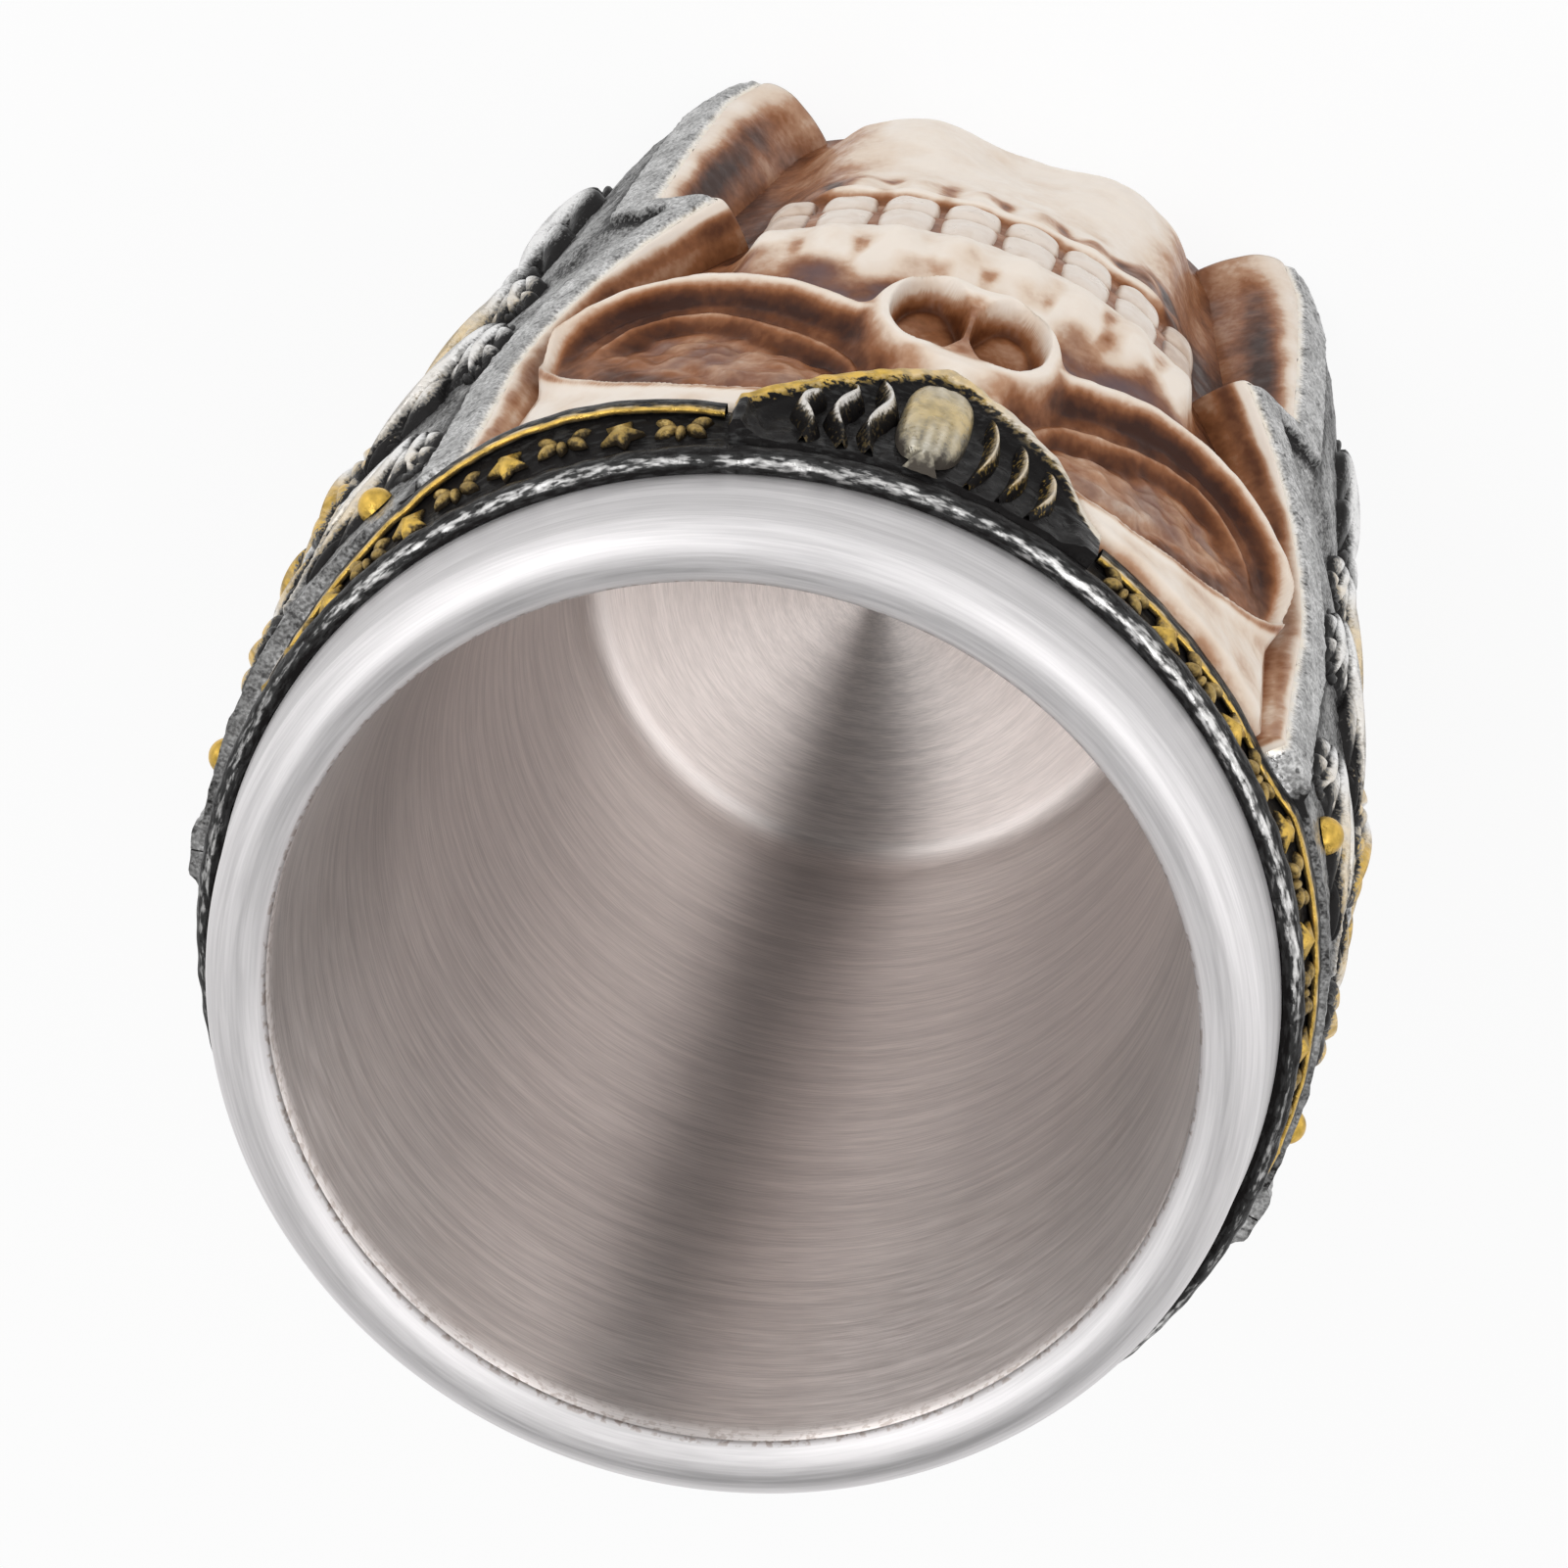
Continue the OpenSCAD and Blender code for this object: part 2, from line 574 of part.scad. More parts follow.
// Rows and columns of a guard, closer together at the notch and across the border
guard_top = band_z - seam;
guard_rows = concat(spread(guard_lift, tip_z - notch_h - 1.5, 9), spread(tip_z - notch_h, tip_z + 1, 5),
  spread(tip_z + 4.5, guard_top, 10));
guard_columns = concat([0, 0.8, border_w, border_w + 1.2], spread(border_w + 6, 100, 10));
function guard_turn(u, z) =
  let (front = guard_front(z))
  let (field = front + border_w + 1.2)
  let (behind = u - border_w - 1.2)
  behind <= 0 ? front + u : mix(field, guard_back - seam, behind / (100 - border_w - 1.2));

module cheek_guard() {
  face = function (t, z) place(t, guard_face(t, z), z);
  back = function (u, z) place(u == 0 ? guard_foot(z) : guard_turn(u, z), guard_seat_r, z);
  solid_between(
    [for (u = guard_columns) for (z = guard_rows) face(guard_turn(u, z), z)],
    [for (u = guard_columns) for (z = guard_rows) back(u, z)],
    len(guard_rows));
}

module cheek_guard_left() { color("gray") cheek_guard(); }
module cheek_guard_right() { color("gray") mirror([1, 0, 0]) cheek_guard(); }

// Leaf reliefs of one guard: turn, share of the guard's height, heading, length, width and bend
leaves = [[65, 0.9, 62, 16, 6, 1.5], [82, 0.86, 118, 16, 6, -1.5], [58, 0.67, 45, 17, 6, 2],
  [86, 0.64, 135, 16, 6, -2], [73, 0.73, 90, 18, 5, 0], [62, 0.47, 60, 16, 6, 2], [82, 0.45, 120, 16, 6, -2]];
function guard_height(share) = mix(guard_lift, guard_top, share);

module cheek_leaves()
  for (l = leaves)
    relief(l[0], guard_height(l[1]), l[2], l[3], l[4], l[5], function (t, z) guard_face(t, z), leaf_t);

module cheek_leaves_left() { color("lightgray") cheek_leaves(); }
module cheek_leaves_right() { color("lightgray") mirror([1, 0, 0]) cheek_leaves(); }

module jaw_scale()
  relief(56, guard_height(0.19), 80, 27, 12, -2, function (t, z) guard_face(t, z), scale_t);

module jaw_scale_left() { color("silver") jaw_scale(); }
module jaw_scale_right() { color("silver") mirror([1, 0, 0]) jaw_scale(); }

nape_side = concat([180, 180 + keel_half], spread(180 + keel_half + 1.5, 352 - guard_back, 12),
  spread(356.3 - guard_back, 360 - guard_back - seam, 2));
nape_columns = concat([for (t = reversed(nape_side)) if (t > 180) 360 - t], nape_side);

module nape_guard() {
  color("gray")
    mask(nape_columns, spread(guard_lift, guard_top, 14), function (t, z) nape_face(t, z), guard_seat_r);
}

module nape_leaves() {
  color("lightgray")
    for (side = [-1, 1])
      for (share = [0.22, 0.42, 0.62, 0.82])
        relief(180 + side * 24, guard_height(share), 90 + side * 38, 19, 7, -side * 2,
          function (t, z) nape_face(t, z), leaf_t);
}

// Studs of one guard: turn and share of the guard's height
studs = [[60, 0.94], [93, 0.93], [93, 0.55], [93, 0.15]];

module stud(t, z)
  rotate([0, 0, t])
    translate([0, -guard_face(t, z) - seam, z])
      rotate([90, 0, 0])
        rotate_extrude($fn = 32)
          polygon(concat([for (a = [0:15:90]) stud_d / 2 * [cos(a), sin(a)]], [[0, 0]]));

module guard_studs() {
  color("gold")
    for (side = [0, 1])
      mirror([side, 0, 0])
        for (p = studs)
          stud(p[0], guard_height(p[1]));
}

inner_cup();
rim_sleeve();
liner_bond();
skull_body();
skull_back();
skull_face();
mandible();
upper_teeth();
lower_teeth();
collar_ring();
head_band();
band_edge();
band_stars();
brow_plate();
brow_boss();
brow_ribs();
cheek_guard_left();
cheek_guard_right();
cheek_leaves_left();
cheek_leaves_right();
jaw_scale_left();
jaw_scale_right();
nape_guard();
nape_leaves();
guard_studs();
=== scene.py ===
"""Skull mug: the looks of a steel cup in a cast skull that wears an open helmet.

Lengths are in millimetres, and are turned into metres where an object is made. A place on the body is
given by its turn t from the face, in degrees, its radius r and its height z above the table.
"""

import math

import bpy
import numpy as np
from mathutils import Matrix, Vector


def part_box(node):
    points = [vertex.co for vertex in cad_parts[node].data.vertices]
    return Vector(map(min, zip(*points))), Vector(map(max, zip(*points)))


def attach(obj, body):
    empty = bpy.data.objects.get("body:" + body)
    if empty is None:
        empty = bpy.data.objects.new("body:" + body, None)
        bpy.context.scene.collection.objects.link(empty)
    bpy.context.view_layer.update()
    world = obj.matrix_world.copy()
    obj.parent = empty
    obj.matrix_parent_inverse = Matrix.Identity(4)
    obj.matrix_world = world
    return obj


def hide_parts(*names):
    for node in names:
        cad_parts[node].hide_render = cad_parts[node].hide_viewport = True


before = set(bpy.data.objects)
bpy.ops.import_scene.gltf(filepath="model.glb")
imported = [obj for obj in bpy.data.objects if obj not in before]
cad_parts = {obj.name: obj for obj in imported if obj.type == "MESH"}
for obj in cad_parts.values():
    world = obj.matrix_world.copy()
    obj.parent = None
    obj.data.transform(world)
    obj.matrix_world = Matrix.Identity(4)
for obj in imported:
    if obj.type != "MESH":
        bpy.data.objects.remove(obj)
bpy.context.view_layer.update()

MM = 0.001
BODY = "root"


# Sizes read from the frame

def span(node):
    """Lowest and highest corner of a CAD node, in millimetres."""
    low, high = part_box(node)
    return [v / MM for v in low], [v / MM for v in high]


sleeve_low, sleeve_high = span("rim_sleeve")
collar_low, collar_high = span("collar_ring")
cup_low, cup_high = span("inner_cup")
guard_low, guard_high = span("cheek_guard_left")
BAND_Z = sleeve_low[2]
LIP_TOP = sleeve_high[2]
SLEEVE_R = sleeve_high[0]
COLLAR_Z = collar_low[2]
COLLAR_TOP = collar_high[2]
COLLAR_R = collar_high[0]
SHELF_R = span("head_band")[1][0]
EDGE_R = span("band_edge")[1][1]
EDGE_TOP = span("band_edge")[1][2]
CUP_EDGE_Z = cup_high[2]
CUP_OUT_R = cup_high[0]
CORE_R = span("skull_body")[1][0]
SEAT_R = span("skull_back")[1][1]
GUARD_LIFT = guard_low[2]
GUARD_TOP = guard_high[2]

# Sizes as in the part's source, save for the tooth pitch, the arch's turn and the nose's depth

STEEL_T = 0.8
LIP_W = 4.9
LIP_RISE = 2.0
SKIRT_FLARE = 1.1
FLOOR_R = 31.3
FLOOR_FILLET = 3.0
CHANNEL_T = 1.2
FACE_TURN = 50
FACE_R = SEAT_R + 0.9
BED_R = SEAT_R + 2.3
BITE_Z = BAND_Z - 56
TOOTH_COUNT = 8
TOOTH_PITCH = 6.7
UPPER_TOOTH_H = 7.0
LOWER_TOOTH_H = 5.0
TOOTH_T = 1.8
ARCH_TURN = 26
ARCH_DROP = 1.5
ORBIT_S = 19.8
ORBIT_Z = BAND_Z - 17.5
ORBIT_A = 17.2
ORBIT_B = 10.8
ORBIT_TILT = math.radians(34)
ORBIT_RISE = 3.7
NOSE_Z = BAND_Z - 22.5
NOSE_A = 7.3
NOSE_B = 8.4
NOSE_RISE = 5.5
NOSE_DEPTH = 3.0
GUM_RISE = 4.6
JAW_RISE = 3.9
CHIN_Z = 15
CHIN_BUMP = 1.2
CHIN_CLEFT = 1.8
BROW_TURN = 19
BROW_POINT_Z = BAND_Z - 11
BROW_SEAT_R = SEAT_R + 0.2
BROW_T = 2.6
BROW_TOP_T = 1.5
GUARD_EDGE = 47
GUARD_BACK = 100
TIP_REACH = 16.5
TIP_LEN = 33
JAW_EDGE = 37.5
NOTCH_H = 5.5
GUARD_T = 2.0
SIDE_T = 3.6
SIDE_BULGE = 1.8
JAW_TIP_T = 7.6
BORDER_W = 5.0
FIELD_DEPTH = 0.8
KEEL_HALF = 2.5
SEAM = 0.08

# Skin length for one degree of turn
SKIN = (SEAT_R + 2.7) * math.pi / 180


# Curves shared by the shapes

def smooth(a, b, x):
    """0 at a and 1 at b, eased in between."""
    f = np.clip((x - a) / (b - a), 0, 1)
    return f * f * (3 - 2 * f)


def bell(x, w):
    """1 at zero, falling off over the width w."""
    return np.exp(-(x / w) ** 2)


def mix(a, b, f):
    """a where f is 0 and b where f is 1."""
    return a + (b - a) * f


def soft_max(a, b, blend):
    """The larger of two values, rounded where they are within the blend of each other."""
    return (a + b + np.sqrt((a - b) ** 2 + blend ** 2)) / 2


def ripple(x, y, size, seed):
    """Uneven waves of about the given size, between about -1 and 1."""
    total = 0
    for i in range(6):
        turn = 2.4 * i + seed
        pitch = 2 * math.pi / size * (0.6 + 0.17 * i)
        total = total + np.sin(pitch * (x * math.cos(turn) + y * math.sin(turn)) + 1.9 * i * seed)
    return total / 3


def blurred(field, reach):
    """The field's mean over a square that reaches so many cells to each side, taken twice."""
    for _ in range(2):
        for axis in (0, 1):
            pad = [(0, 0), (0, 0)]
            pad[axis] = (reach + 1, reach)
            sums = np.cumsum(np.pad(field, pad, mode="edge"), axis=axis)
            n = field.shape[axis]
            window = 2 * reach + 1
            field = (sums.take(range(window, window + n), axis) - sums.take(range(n), axis)) / window
    return field


# Meshes

def polar(t, r, z):
    """Points from turns, radii and heights, as an array whose last axis is x, y, z."""
    t = np.radians(t)
    return np.stack(np.broadcast_arrays(r * np.sin(t), -r * np.cos(t), z), -1)


def strip(rows, columns):
    """Places along a strip, from 0 to 1, and across it, from -1 to 1."""
    return np.meshgrid(np.linspace(0, 1, rows), np.linspace(-1, 1, columns), indexing="ij")


def grid_quads(rows, columns, ring=False):
    """Corner numbers of the quads of a grid, joined round to a ring if asked."""
    i, j = np.meshgrid(np.arange(rows if ring else rows - 1), np.arange(columns - 1), indexing="ij")
    k = (i + 1) % rows
    corners = (i * columns + j, k * columns + j, k * columns + j + 1, i * columns + j + 1)
    return np.stack(corners, -1).reshape(-1, 4).tolist()


class Shape:
    """Points, faces and painted values that are gathered into one mesh."""

    def __init__(self):
        self.points, self.faces, self.paint, self.count = [], [], {}, 0

    def add(self, points, faces, **paint):
        """Adds points with the faces between them and a value of each paint for each point."""
        points = points.reshape(-1, 3)
        for name, value in paint.items():
            self.paint.setdefault(name, []).append(np.broadcast_to(value, len(points)))
        self.faces += [[self.count + n for n in face] for face in faces]
        self.points.append(points)
        self.count += len(points)

    def add_grid(self, points, ring=False, **paint):
        """Adds a grid of points, row by row, with each paint spread over it."""
        rows, columns = points.shape[:2]
        spread = {name: np.broadcast_to(value, (rows, columns)).ravel() for name, value in paint.items()}
        self.add(points, grid_quads(rows, columns, ring), **spread)

    def mirrored(self):
        """The same shape on the other side of the face."""
        twin = Shape()
        twin.points = [p * (-1, 1, 1) for p in self.points]
        twin.faces = [face[::-1] for face in self.faces]
        twin.paint, twin.count = self.paint, self.count
        return twin

    def build(self, name, material, slot, *nodes):
        """Makes the smooth mesh object, which rides on the body and stands for the CAD nodes named."""
        mesh = bpy.data.meshes.new(name)
        mesh.from_pydata((np.concatenate(self.points) * MM).tolist(), [], self.faces)
        for key, values in self.paint.items():
            layer = mesh.attributes.new(key, "FLOAT", "POINT")
            layer.data.foreach_set("value", np.concatenate(values).astype(np.float32))
        mesh.polygons.foreach_set("use_smooth", [True] * len(mesh.polygons))
        mesh.materials.append(material)
        mesh.update()
        piece = bpy.data.objects.new(name, mesh)
        bpy.context.scene.collection.objects.link(piece)
        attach(piece, BODY)
        if nodes:
            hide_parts(*nodes)


def grid_piece(name, material, slot, nodes, points, ring=False, **paint):
    """Makes a piece of one grid of points."""
    shape = Shape()
    shape.add_grid(points, ring, **paint)
    shape.build(name, material, slot, *nodes)


def lathe(profile, segments=256):
    """Points of a profile of radii and heights, turned round the mug's axis."""
    t = np.linspace(0, 360, segments, endpoint=False)[:, None]
    profile = np.asarray(profile, float)
    return polar(t, profile[None, :, 0], profile[None, :, 1])


# Materials

class Nodes:
    """The node tree of a material or a world, with short calls to add and link its nodes."""

    def __init__(self, owner):
        self.owner = owner
        owner.use_nodes = True
        self.tree = owner.node_tree
        self.tree.nodes.clear()

    def node(self, kind, inputs=None, **settings):
        """Adds a node, with its settings and with a value or a link for each input named."""
        node = self.tree.nodes.new("ShaderNode" + kind)
        for key, value in settings.items():
            setattr(node, key, value)
        for key, value in (inputs or {}).items():
            if isinstance(value, bpy.types.NodeSocket):
                self.tree.links.new(value, node.inputs[key])
            else:
                node.inputs[key].default_value = value
        return node

    def math(self, operation, a, b=0.0, clamp=False):
        """One sum on two values."""
        return self.node("Math", {0: a, 1: b}, operation=operation, use_clamp=clamp).outputs[0]

    def range(self, value, low, high, to_low=0.0, to_high=1.0):
        """The value between low and high, eased onto another range."""
        inputs = {"Value": value, "From Min": low, "From Max": high, "To Min": to_low, "To Max": to_high}
        return self.node("MapRange", inputs, interpolation_type="SMOOTHSTEP").outputs[0]

    def ramp(self, value, *stops):
        """Colours along a value, from pairs of place and colour."""
        node = self.node("ValToRGB", {"Fac": value})
        points = node.color_ramp.elements
        while len(points) < len(stops):
            points.new(0.5)
        for point, (place, colour) in zip(points, stops):
            point.position = place
            point.color = (*colour, 1)
        return node.outputs["Color"]

    def blend(self, factor, a, b):
        """Colour a where the factor is 0 and b where it is 1."""
        a, b = [c if isinstance(c, bpy.types.NodeSocket) else (*c, 1) for c in (a, b)]
        return self.node("Mix", {0: factor, 6: a, 7: b}, data_type="RGBA").outputs[2]


class Paint(Nodes):
    """A material's node tree, with places in millimetres and the values painted on the mesh."""

    def __init__(self, name):
        super().__init__(bpy.data.materials.new(name))
        place = self.node("TexCoord").outputs["Object"]
        self.place = self.node("VectorMath", {0: place, "Scale": 1 / MM}, operation="SCALE").outputs[0]

    def painted(self, name):
        """The value painted on the mesh under a name."""
        return self.node("Attribute", attribute_name=name).outputs["Fac"]

    def around(self, per_turn):
        """Places that close up round the mug, with so many millimetres for one radian of turn.

        They are the turn, as two lengths, with the radius, and the height apart.
        """
        x, y, z = self.node("SeparateXYZ", {0: self.place}).outputs
        flat = self.node("CombineXYZ", {0: x, 1: y}).outputs[0]
        radius = self.node("VectorMath", {0: flat}, operation="LENGTH").outputs["Value"]
        out = self.node("CombineXYZ", {2: radius}).outputs[0]
        way = self.node("VectorMath", {0: flat}, operation="NORMALIZE").outputs[0]
        inputs = {0: way, 1: (per_turn, per_turn, 0), 2: out}
        return self.node("VectorMath", inputs, operation="MULTIPLY_ADD").outputs[0], z

    def noise(self, size, detail=4.0, place=None):
        """Noise with features of about the given size, between 0 and 1."""
        inputs = {"Scale": 1 / size, "Detail": detail}
        if place:
            inputs["Vector"], inputs["W"] = place
            return self.node("TexNoise", inputs, noise_dimensions="4D").outputs[0]
        inputs["Vector"] = self.place
        return self.node("TexNoise", inputs).outputs[0]

    def spread(self, noise, low, high):
        """Noise, most of which lies between 0.3 and 0.7, drawn out onto a range."""
        return self.range(noise, 0.3, 0.7, low, high)

    def bump(self, height, strength, distance):
        """Normals that follow a height, in millimetres."""
        inputs = {"Height": height, "Strength": strength, "Distance": distance * MM}
        return self.node("Bump", inputs).outputs[0]

    def done(self, **inputs):
        """Ends the tree in one glossy surface and returns the material."""
        sockets = {key.replace("_", " "): value for key, value in inputs.items()}
        shader = self.node("BsdfPrincipled", sockets).outputs[0]
        self.node("OutputMaterial", {"Surface": shader})
        return self.owner


def dimmed(colour, share):
    """A share of a colour."""
    return tuple(share * c for c in colour)


def bone_paint():
    """Cream resin with a brown wash in its hollows and a violet shade between the features."""
    p = Paint("bone_resin")
    blot = p.noise(5.0, 5.0)
    grain = p.noise(0.8, 3.0)
    uneven = p.math("ADD", p.spread(blot, -0.10, 0.10), p.spread(grain, -0.035, 0.035))
    dirt = p.range(p.painted("wash"), 0.0, 0.4, 0.25, 1.2)
    wash = p.math("ADD", p.painted("wash"), p.math("MULTIPLY", uneven, dirt), clamp=True)
    bone = p.ramp(wash, (0.0, (0.80, 0.72, 0.64)), (0.14, (0.71, 0.585, 0.475)), (0.32, (0.46, 0.27, 0.17)),
                  (0.52, (0.27, 0.108, 0.046)), (0.76, (0.115, 0.038, 0.014)), (1.0, (0.04, 0.014, 0.008)))
    shade = p.math("MULTIPLY", p.painted("violet"), p.range(p.noise(3.0, 5.0), 0.3, 0.6, 0.25, 1.0))
    colour = p.blend(shade, bone, (0.125, 0.088, 0.096))
    rough = p.spread(p.noise(1.6, 4.0), 0.30, 0.48)
    height = p.math("ADD", p.math("MULTIPLY", p.noise(0.9, 4.0), 0.5), p.math("MULTIPLY", blot, 0.5))
    return p.done(Base_Color=colour, Roughness=rough, Specular_IOR_Level=0.08, Coat_Weight=0.08,
                  Coat_Roughness=0.10, Normal=p.bump(height, 0.4, 0.12))


def tooth_paint():
    """Pale resin, washed brown where a tooth meets its neighbours, with painted shade along its rounded
    edges.
    """
    p = Paint("tooth_resin")
    uneven = p.spread(p.noise(1.8, 4.0), -0.12, 0.12)
    wash = p.math("ADD", p.painted("wash"), uneven, clamp=True)
    colour = p.ramp(wash, (0.0, (0.71, 0.63, 0.56)), (0.35, (0.58, 0.46, 0.37)), (0.7, (0.31, 0.185, 0.12)),
                    (1.0, (0.12, 0.06, 0.04)))
    return p.done(Base_Color=colour, Roughness=p.spread(p.noise(2.5), 0.26, 0.4),
                  Specular_IOR_Level=0.35, Normal=p.bump(p.noise(1.2), 0.3, 0.1))


# Millimetres of noise for one radian, which draws flecks out along the band
STREAK = 11.0


def brushed_metal_paint(name, dark, middle, bright, gold=(0.74, 0.48, 0.10), scatter=0.06, patchy=0.10,
                        streaked=False):
    """Dark resin with silver brushed over what stands up, and gold where gold is painted."""
    p = Paint(name)
    place = p.around(STREAK) if streaked else None
    patch = p.spread(p.noise(2.8, 6.0, place), -patchy, patchy)
    speck = p.spread(p.noise(0.3, 3.0, place), -scatter, scatter)
    lift = p.math("ADD", p.painted("relief"), p.math("ADD", patch, speck), clamp=True)
    silver = p.ramp(lift, (0.15, dark), (0.5, middle), (0.88, bright))
    pit = p.range(p.noise(0.75, 3.0), 0.42, 0.33)
    pitted = p.blend(p.math("MULTIPLY", pit, p.range(lift, 0.85, 0.6, 0.0, 0.6)), silver, dark)
    gilt = p.math("MULTIPLY", p.painted("gold"), p.range(p.math("ADD", lift, speck), 0.2, 0.55))
    leafing = p.ramp(p.noise(1.1, 4.0), (0.3, dimmed(gold, 0.5)), (0.6, gold))
    colour = p.blend(gilt, pitted, leafing)
    metal = p.range(lift, 0.15, 0.6, 0.05, 0.85)
    rough = p.spread(p.noise(0.9, 4.0), 0.26, 0.46)
    height = p.math("ADD", p.noise(0.55, 3.0), p.math("MULTIPLY", pit, -0.8))
    return p.done(Base_Color=colour, Metallic=metal, Roughness=rough, Specular_IOR_Level=0.06,
                  Normal=p.bump(height, 0.4, 0.12))


# Brown residue where the cup meets its lip
STAIN = (0.22, 0.12, 0.07)


def steel_paint(name, colour, roughness, brushing, ring, streak):
    """Steel brushed round its axis, with fine rings that are broken along the turn and duller patches.

    The streak is the share of the colour that the darkest rings keep.
    """
    p = Paint(name)
    rings = p.around(1.3)
    line = p.noise(ring, 4.0, rings)
    cloud = p.noise(0.9, 4.0, rings)
    tone = p.math("ADD", p.spread(line, -0.4, 0.4), p.spread(cloud, 0.2, 0.8), clamp=True)
    sheen = p.blend(tone, dimmed(colour, streak), colour)
    # Where the mesh asks for it, as on the skirt, the colour drops to a darker satin: a satin finish, with
    # painted shade
    satin_in_shade = p.blend(tone, dimmed(colour, 0.72), dimmed(colour, 0.88))
    sheen = p.blend(p.painted("dull"), sheen, satin_in_shade)
    residue = p.math("MULTIPLY", p.painted("residue"), p.range(p.noise(0.7, 3.0), 0.5, 0.62))
    base = p.blend(residue, sheen, STAIN)
    rough = p.range(line, 0.25, 0.75, roughness - 0.04, roughness + 0.04)
    tangent = p.node("Tangent", direction_type="RADIAL", axis="Z").outputs[0]
    return p.done(Base_Color=base, Metallic=1.0, Roughness=rough, Anisotropic=brushing,
                  Anisotropic_Rotation=0.25, Tangent=tangent, Normal=p.bump(line, 0.1, 0.02))


BONE = bone_paint()
TOOTH = tooth_paint()
SILVER = brushed_metal_paint("silver_resin", (0.020, 0.019, 0.019), (0.33, 0.328, 0.325),
                             (0.86, 0.855, 0.85), scatter=0.13)
BLACK = brushed_metal_paint("black_resin", (0.010, 0.009, 0.009), (0.05, 0.05, 0.05), (0.74, 0.73, 0.72),
                            scatter=0.22, patchy=0.18, streaked=True)
GOLD = brushed_metal_paint("gold_paint", (0.02, 0.014, 0.008), (0.26, 0.19, 0.09), (0.80, 0.66, 0.36))
SILVER_GOLD = brushed_metal_paint("pale_gold_paint", (0.07, 0.06, 0.05), (0.38, 0.35, 0.28),
                                  (0.70, 0.68, 0.62), (0.58, 0.44, 0.20))
CUP_STEEL = steel_paint("steel_brushed", (0.93, 0.87, 0.845), 0.32, 1.0, 0.12, 0.76)
RIM_STEEL = steel_paint("steel_rim", (0.80, 0.78, 0.785), 0.50, 0.35, 0.2, 0.82)


# Steel cup and lip

LIP_R = SLEEVE_R - SKIRT_FLARE
LIP_Z = LIP_TOP - LIP_RISE


def steel_cup():
    """The drawn cup: floor, fillet and wall, inside and out."""
    wall_r = CUP_OUT_R - STEEL_T
    floor_z = cup_low[2] + STEEL_T
    flat_r = FLOOR_R - FLOOR_FILLET
    hub_r = 0.05
    arc = np.radians(np.linspace(-90, 0, 12))

    def fillet(extra):
        reach = FLOOR_FILLET + extra
        return [(flat_r + reach * math.cos(a), floor_z + FLOOR_FILLET + reach * math.sin(a)) for a in arc]

    def wall(extra):
        heights = np.linspace(floor_z + FLOOR_FILLET, CUP_EDGE_Z, 40)[1:]
        radii = np.linspace(FLOOR_R, wall_r, 40)[1:] + extra
        return list(zip(radii, heights))

    inside = [(r, floor_z) for r in np.linspace(hub_r, flat_r, 24)[:-1]] + fillet(0) + wall(0)
    outside = wall(STEEL_T)[::-1] + fillet(STEEL_T)[::-1] + [(hub_r, cup_low[2])]
    residue = [0.45 * smooth(CUP_EDGE_Z - 0.9, CUP_EDGE_Z - 0.1, z) for _, z in inside]
    grid_piece("steel_cup", CUP_STEEL, "steel_brushed", ["inner_cup"], lathe(inside + outside), ring=True,
               residue=residue + [0] * len(outside))


def steel_lip():
    """The rolled lip and the flared skirt below it."""
    def roll(inset):
        turns = np.radians(np.linspace(180, 0, 40))
        foot = np.where(turns > math.pi / 2, CUP_EDGE_Z, LIP_Z)
        r = LIP_R - LIP_W / 2 + (LIP_W / 2 - inset) * np.cos(turns)
        return list(zip(r, foot + (LIP_TOP - inset - foot) * np.sin(turns)))

    skirt = [(mix(LIP_R, SLEEVE_R, f), mix(LIP_Z, COLLAR_TOP, f)) for f in np.linspace(0, 1, 14)[1:]]
    inner = [(SLEEVE_R - STEEL_T, BAND_Z), (SLEEVE_R - STEEL_T, COLLAR_TOP)]
    profile = roll(0) + skirt + [(SLEEVE_R, BAND_Z)] + inner + roll(STEEL_T)[::-1]
    profile.append(profile[0])
    residue = [0.5 * bell(r - profile[0][0], 0.3) * (i < 6) for i, (r, _) in enumerate(profile)]
    # The skirt is coloured darker than the rolled lip: a satin finish, with painted shade
    dull = [smooth(LIP_Z + 0.3, LIP_Z - 0.5, z) for _, z in profile]
    grid_piece("steel_lip", RIM_STEEL, "steel_rim", ["rim_sleeve"], lathe(profile), ring=True,
               residue=residue, dull=dull)


steel_cup()
steel_lip()


# Helmet outlines that the skull and the guards share

def guard_front(z):
    """Turn of the guard's front edge at a height."""
    jaw = JAW_EDGE - 0.085 * (BITE_Z - 10 - z) - 2.5 * smooth(8, 0, z)
    tip = GUARD_EDGE - TIP_REACH
    cheek = GUARD_EDGE - TIP_REACH * np.clip(1 - (z - BITE_Z) / TIP_LEN, 0, 1) ** 1.6
    return np.where(z >= BITE_Z, cheek, mix(jaw, tip, smooth(BITE_Z - NOTCH_H, BITE_Z, z)))


def guard_foot(z):
    """Turn at which the guard's inner face meets the skull."""
    return guard_front(z) - mix(6, 1.4, smooth(0, 60, z))


def guard_side(z):
    """Radius of the guards' and the nape plate's sides."""
    bulge = SIDE_BULGE * bell(z - 0.68 * BAND_Z, 0.22 * BAND_Z)
    return SEAT_R + mix(SIDE_T, GUARD_T, smooth(0, BAND_Z, z)) + bulge


def guard_rim(z):
    """Radius of the guard's front edge."""
    return SEAT_R + mix(JAW_TIP_T, GUARD_T, smooth(0, BAND_Z * 1.08, z))


def guard_face(t, z):
    """Radius of the guard's face with its raised border."""
    d = t - guard_front(z)
    field = smooth(BORDER_W, BORDER_W + 1.2, d) * smooth(2.5, 3.7, GUARD_BACK - t)
    skin = mix(guard_rim(z), guard_side(z), smooth(2, 26, d))
    return skin - FIELD_DEPTH * field - 0.6 * smooth(1.2, 0, d)


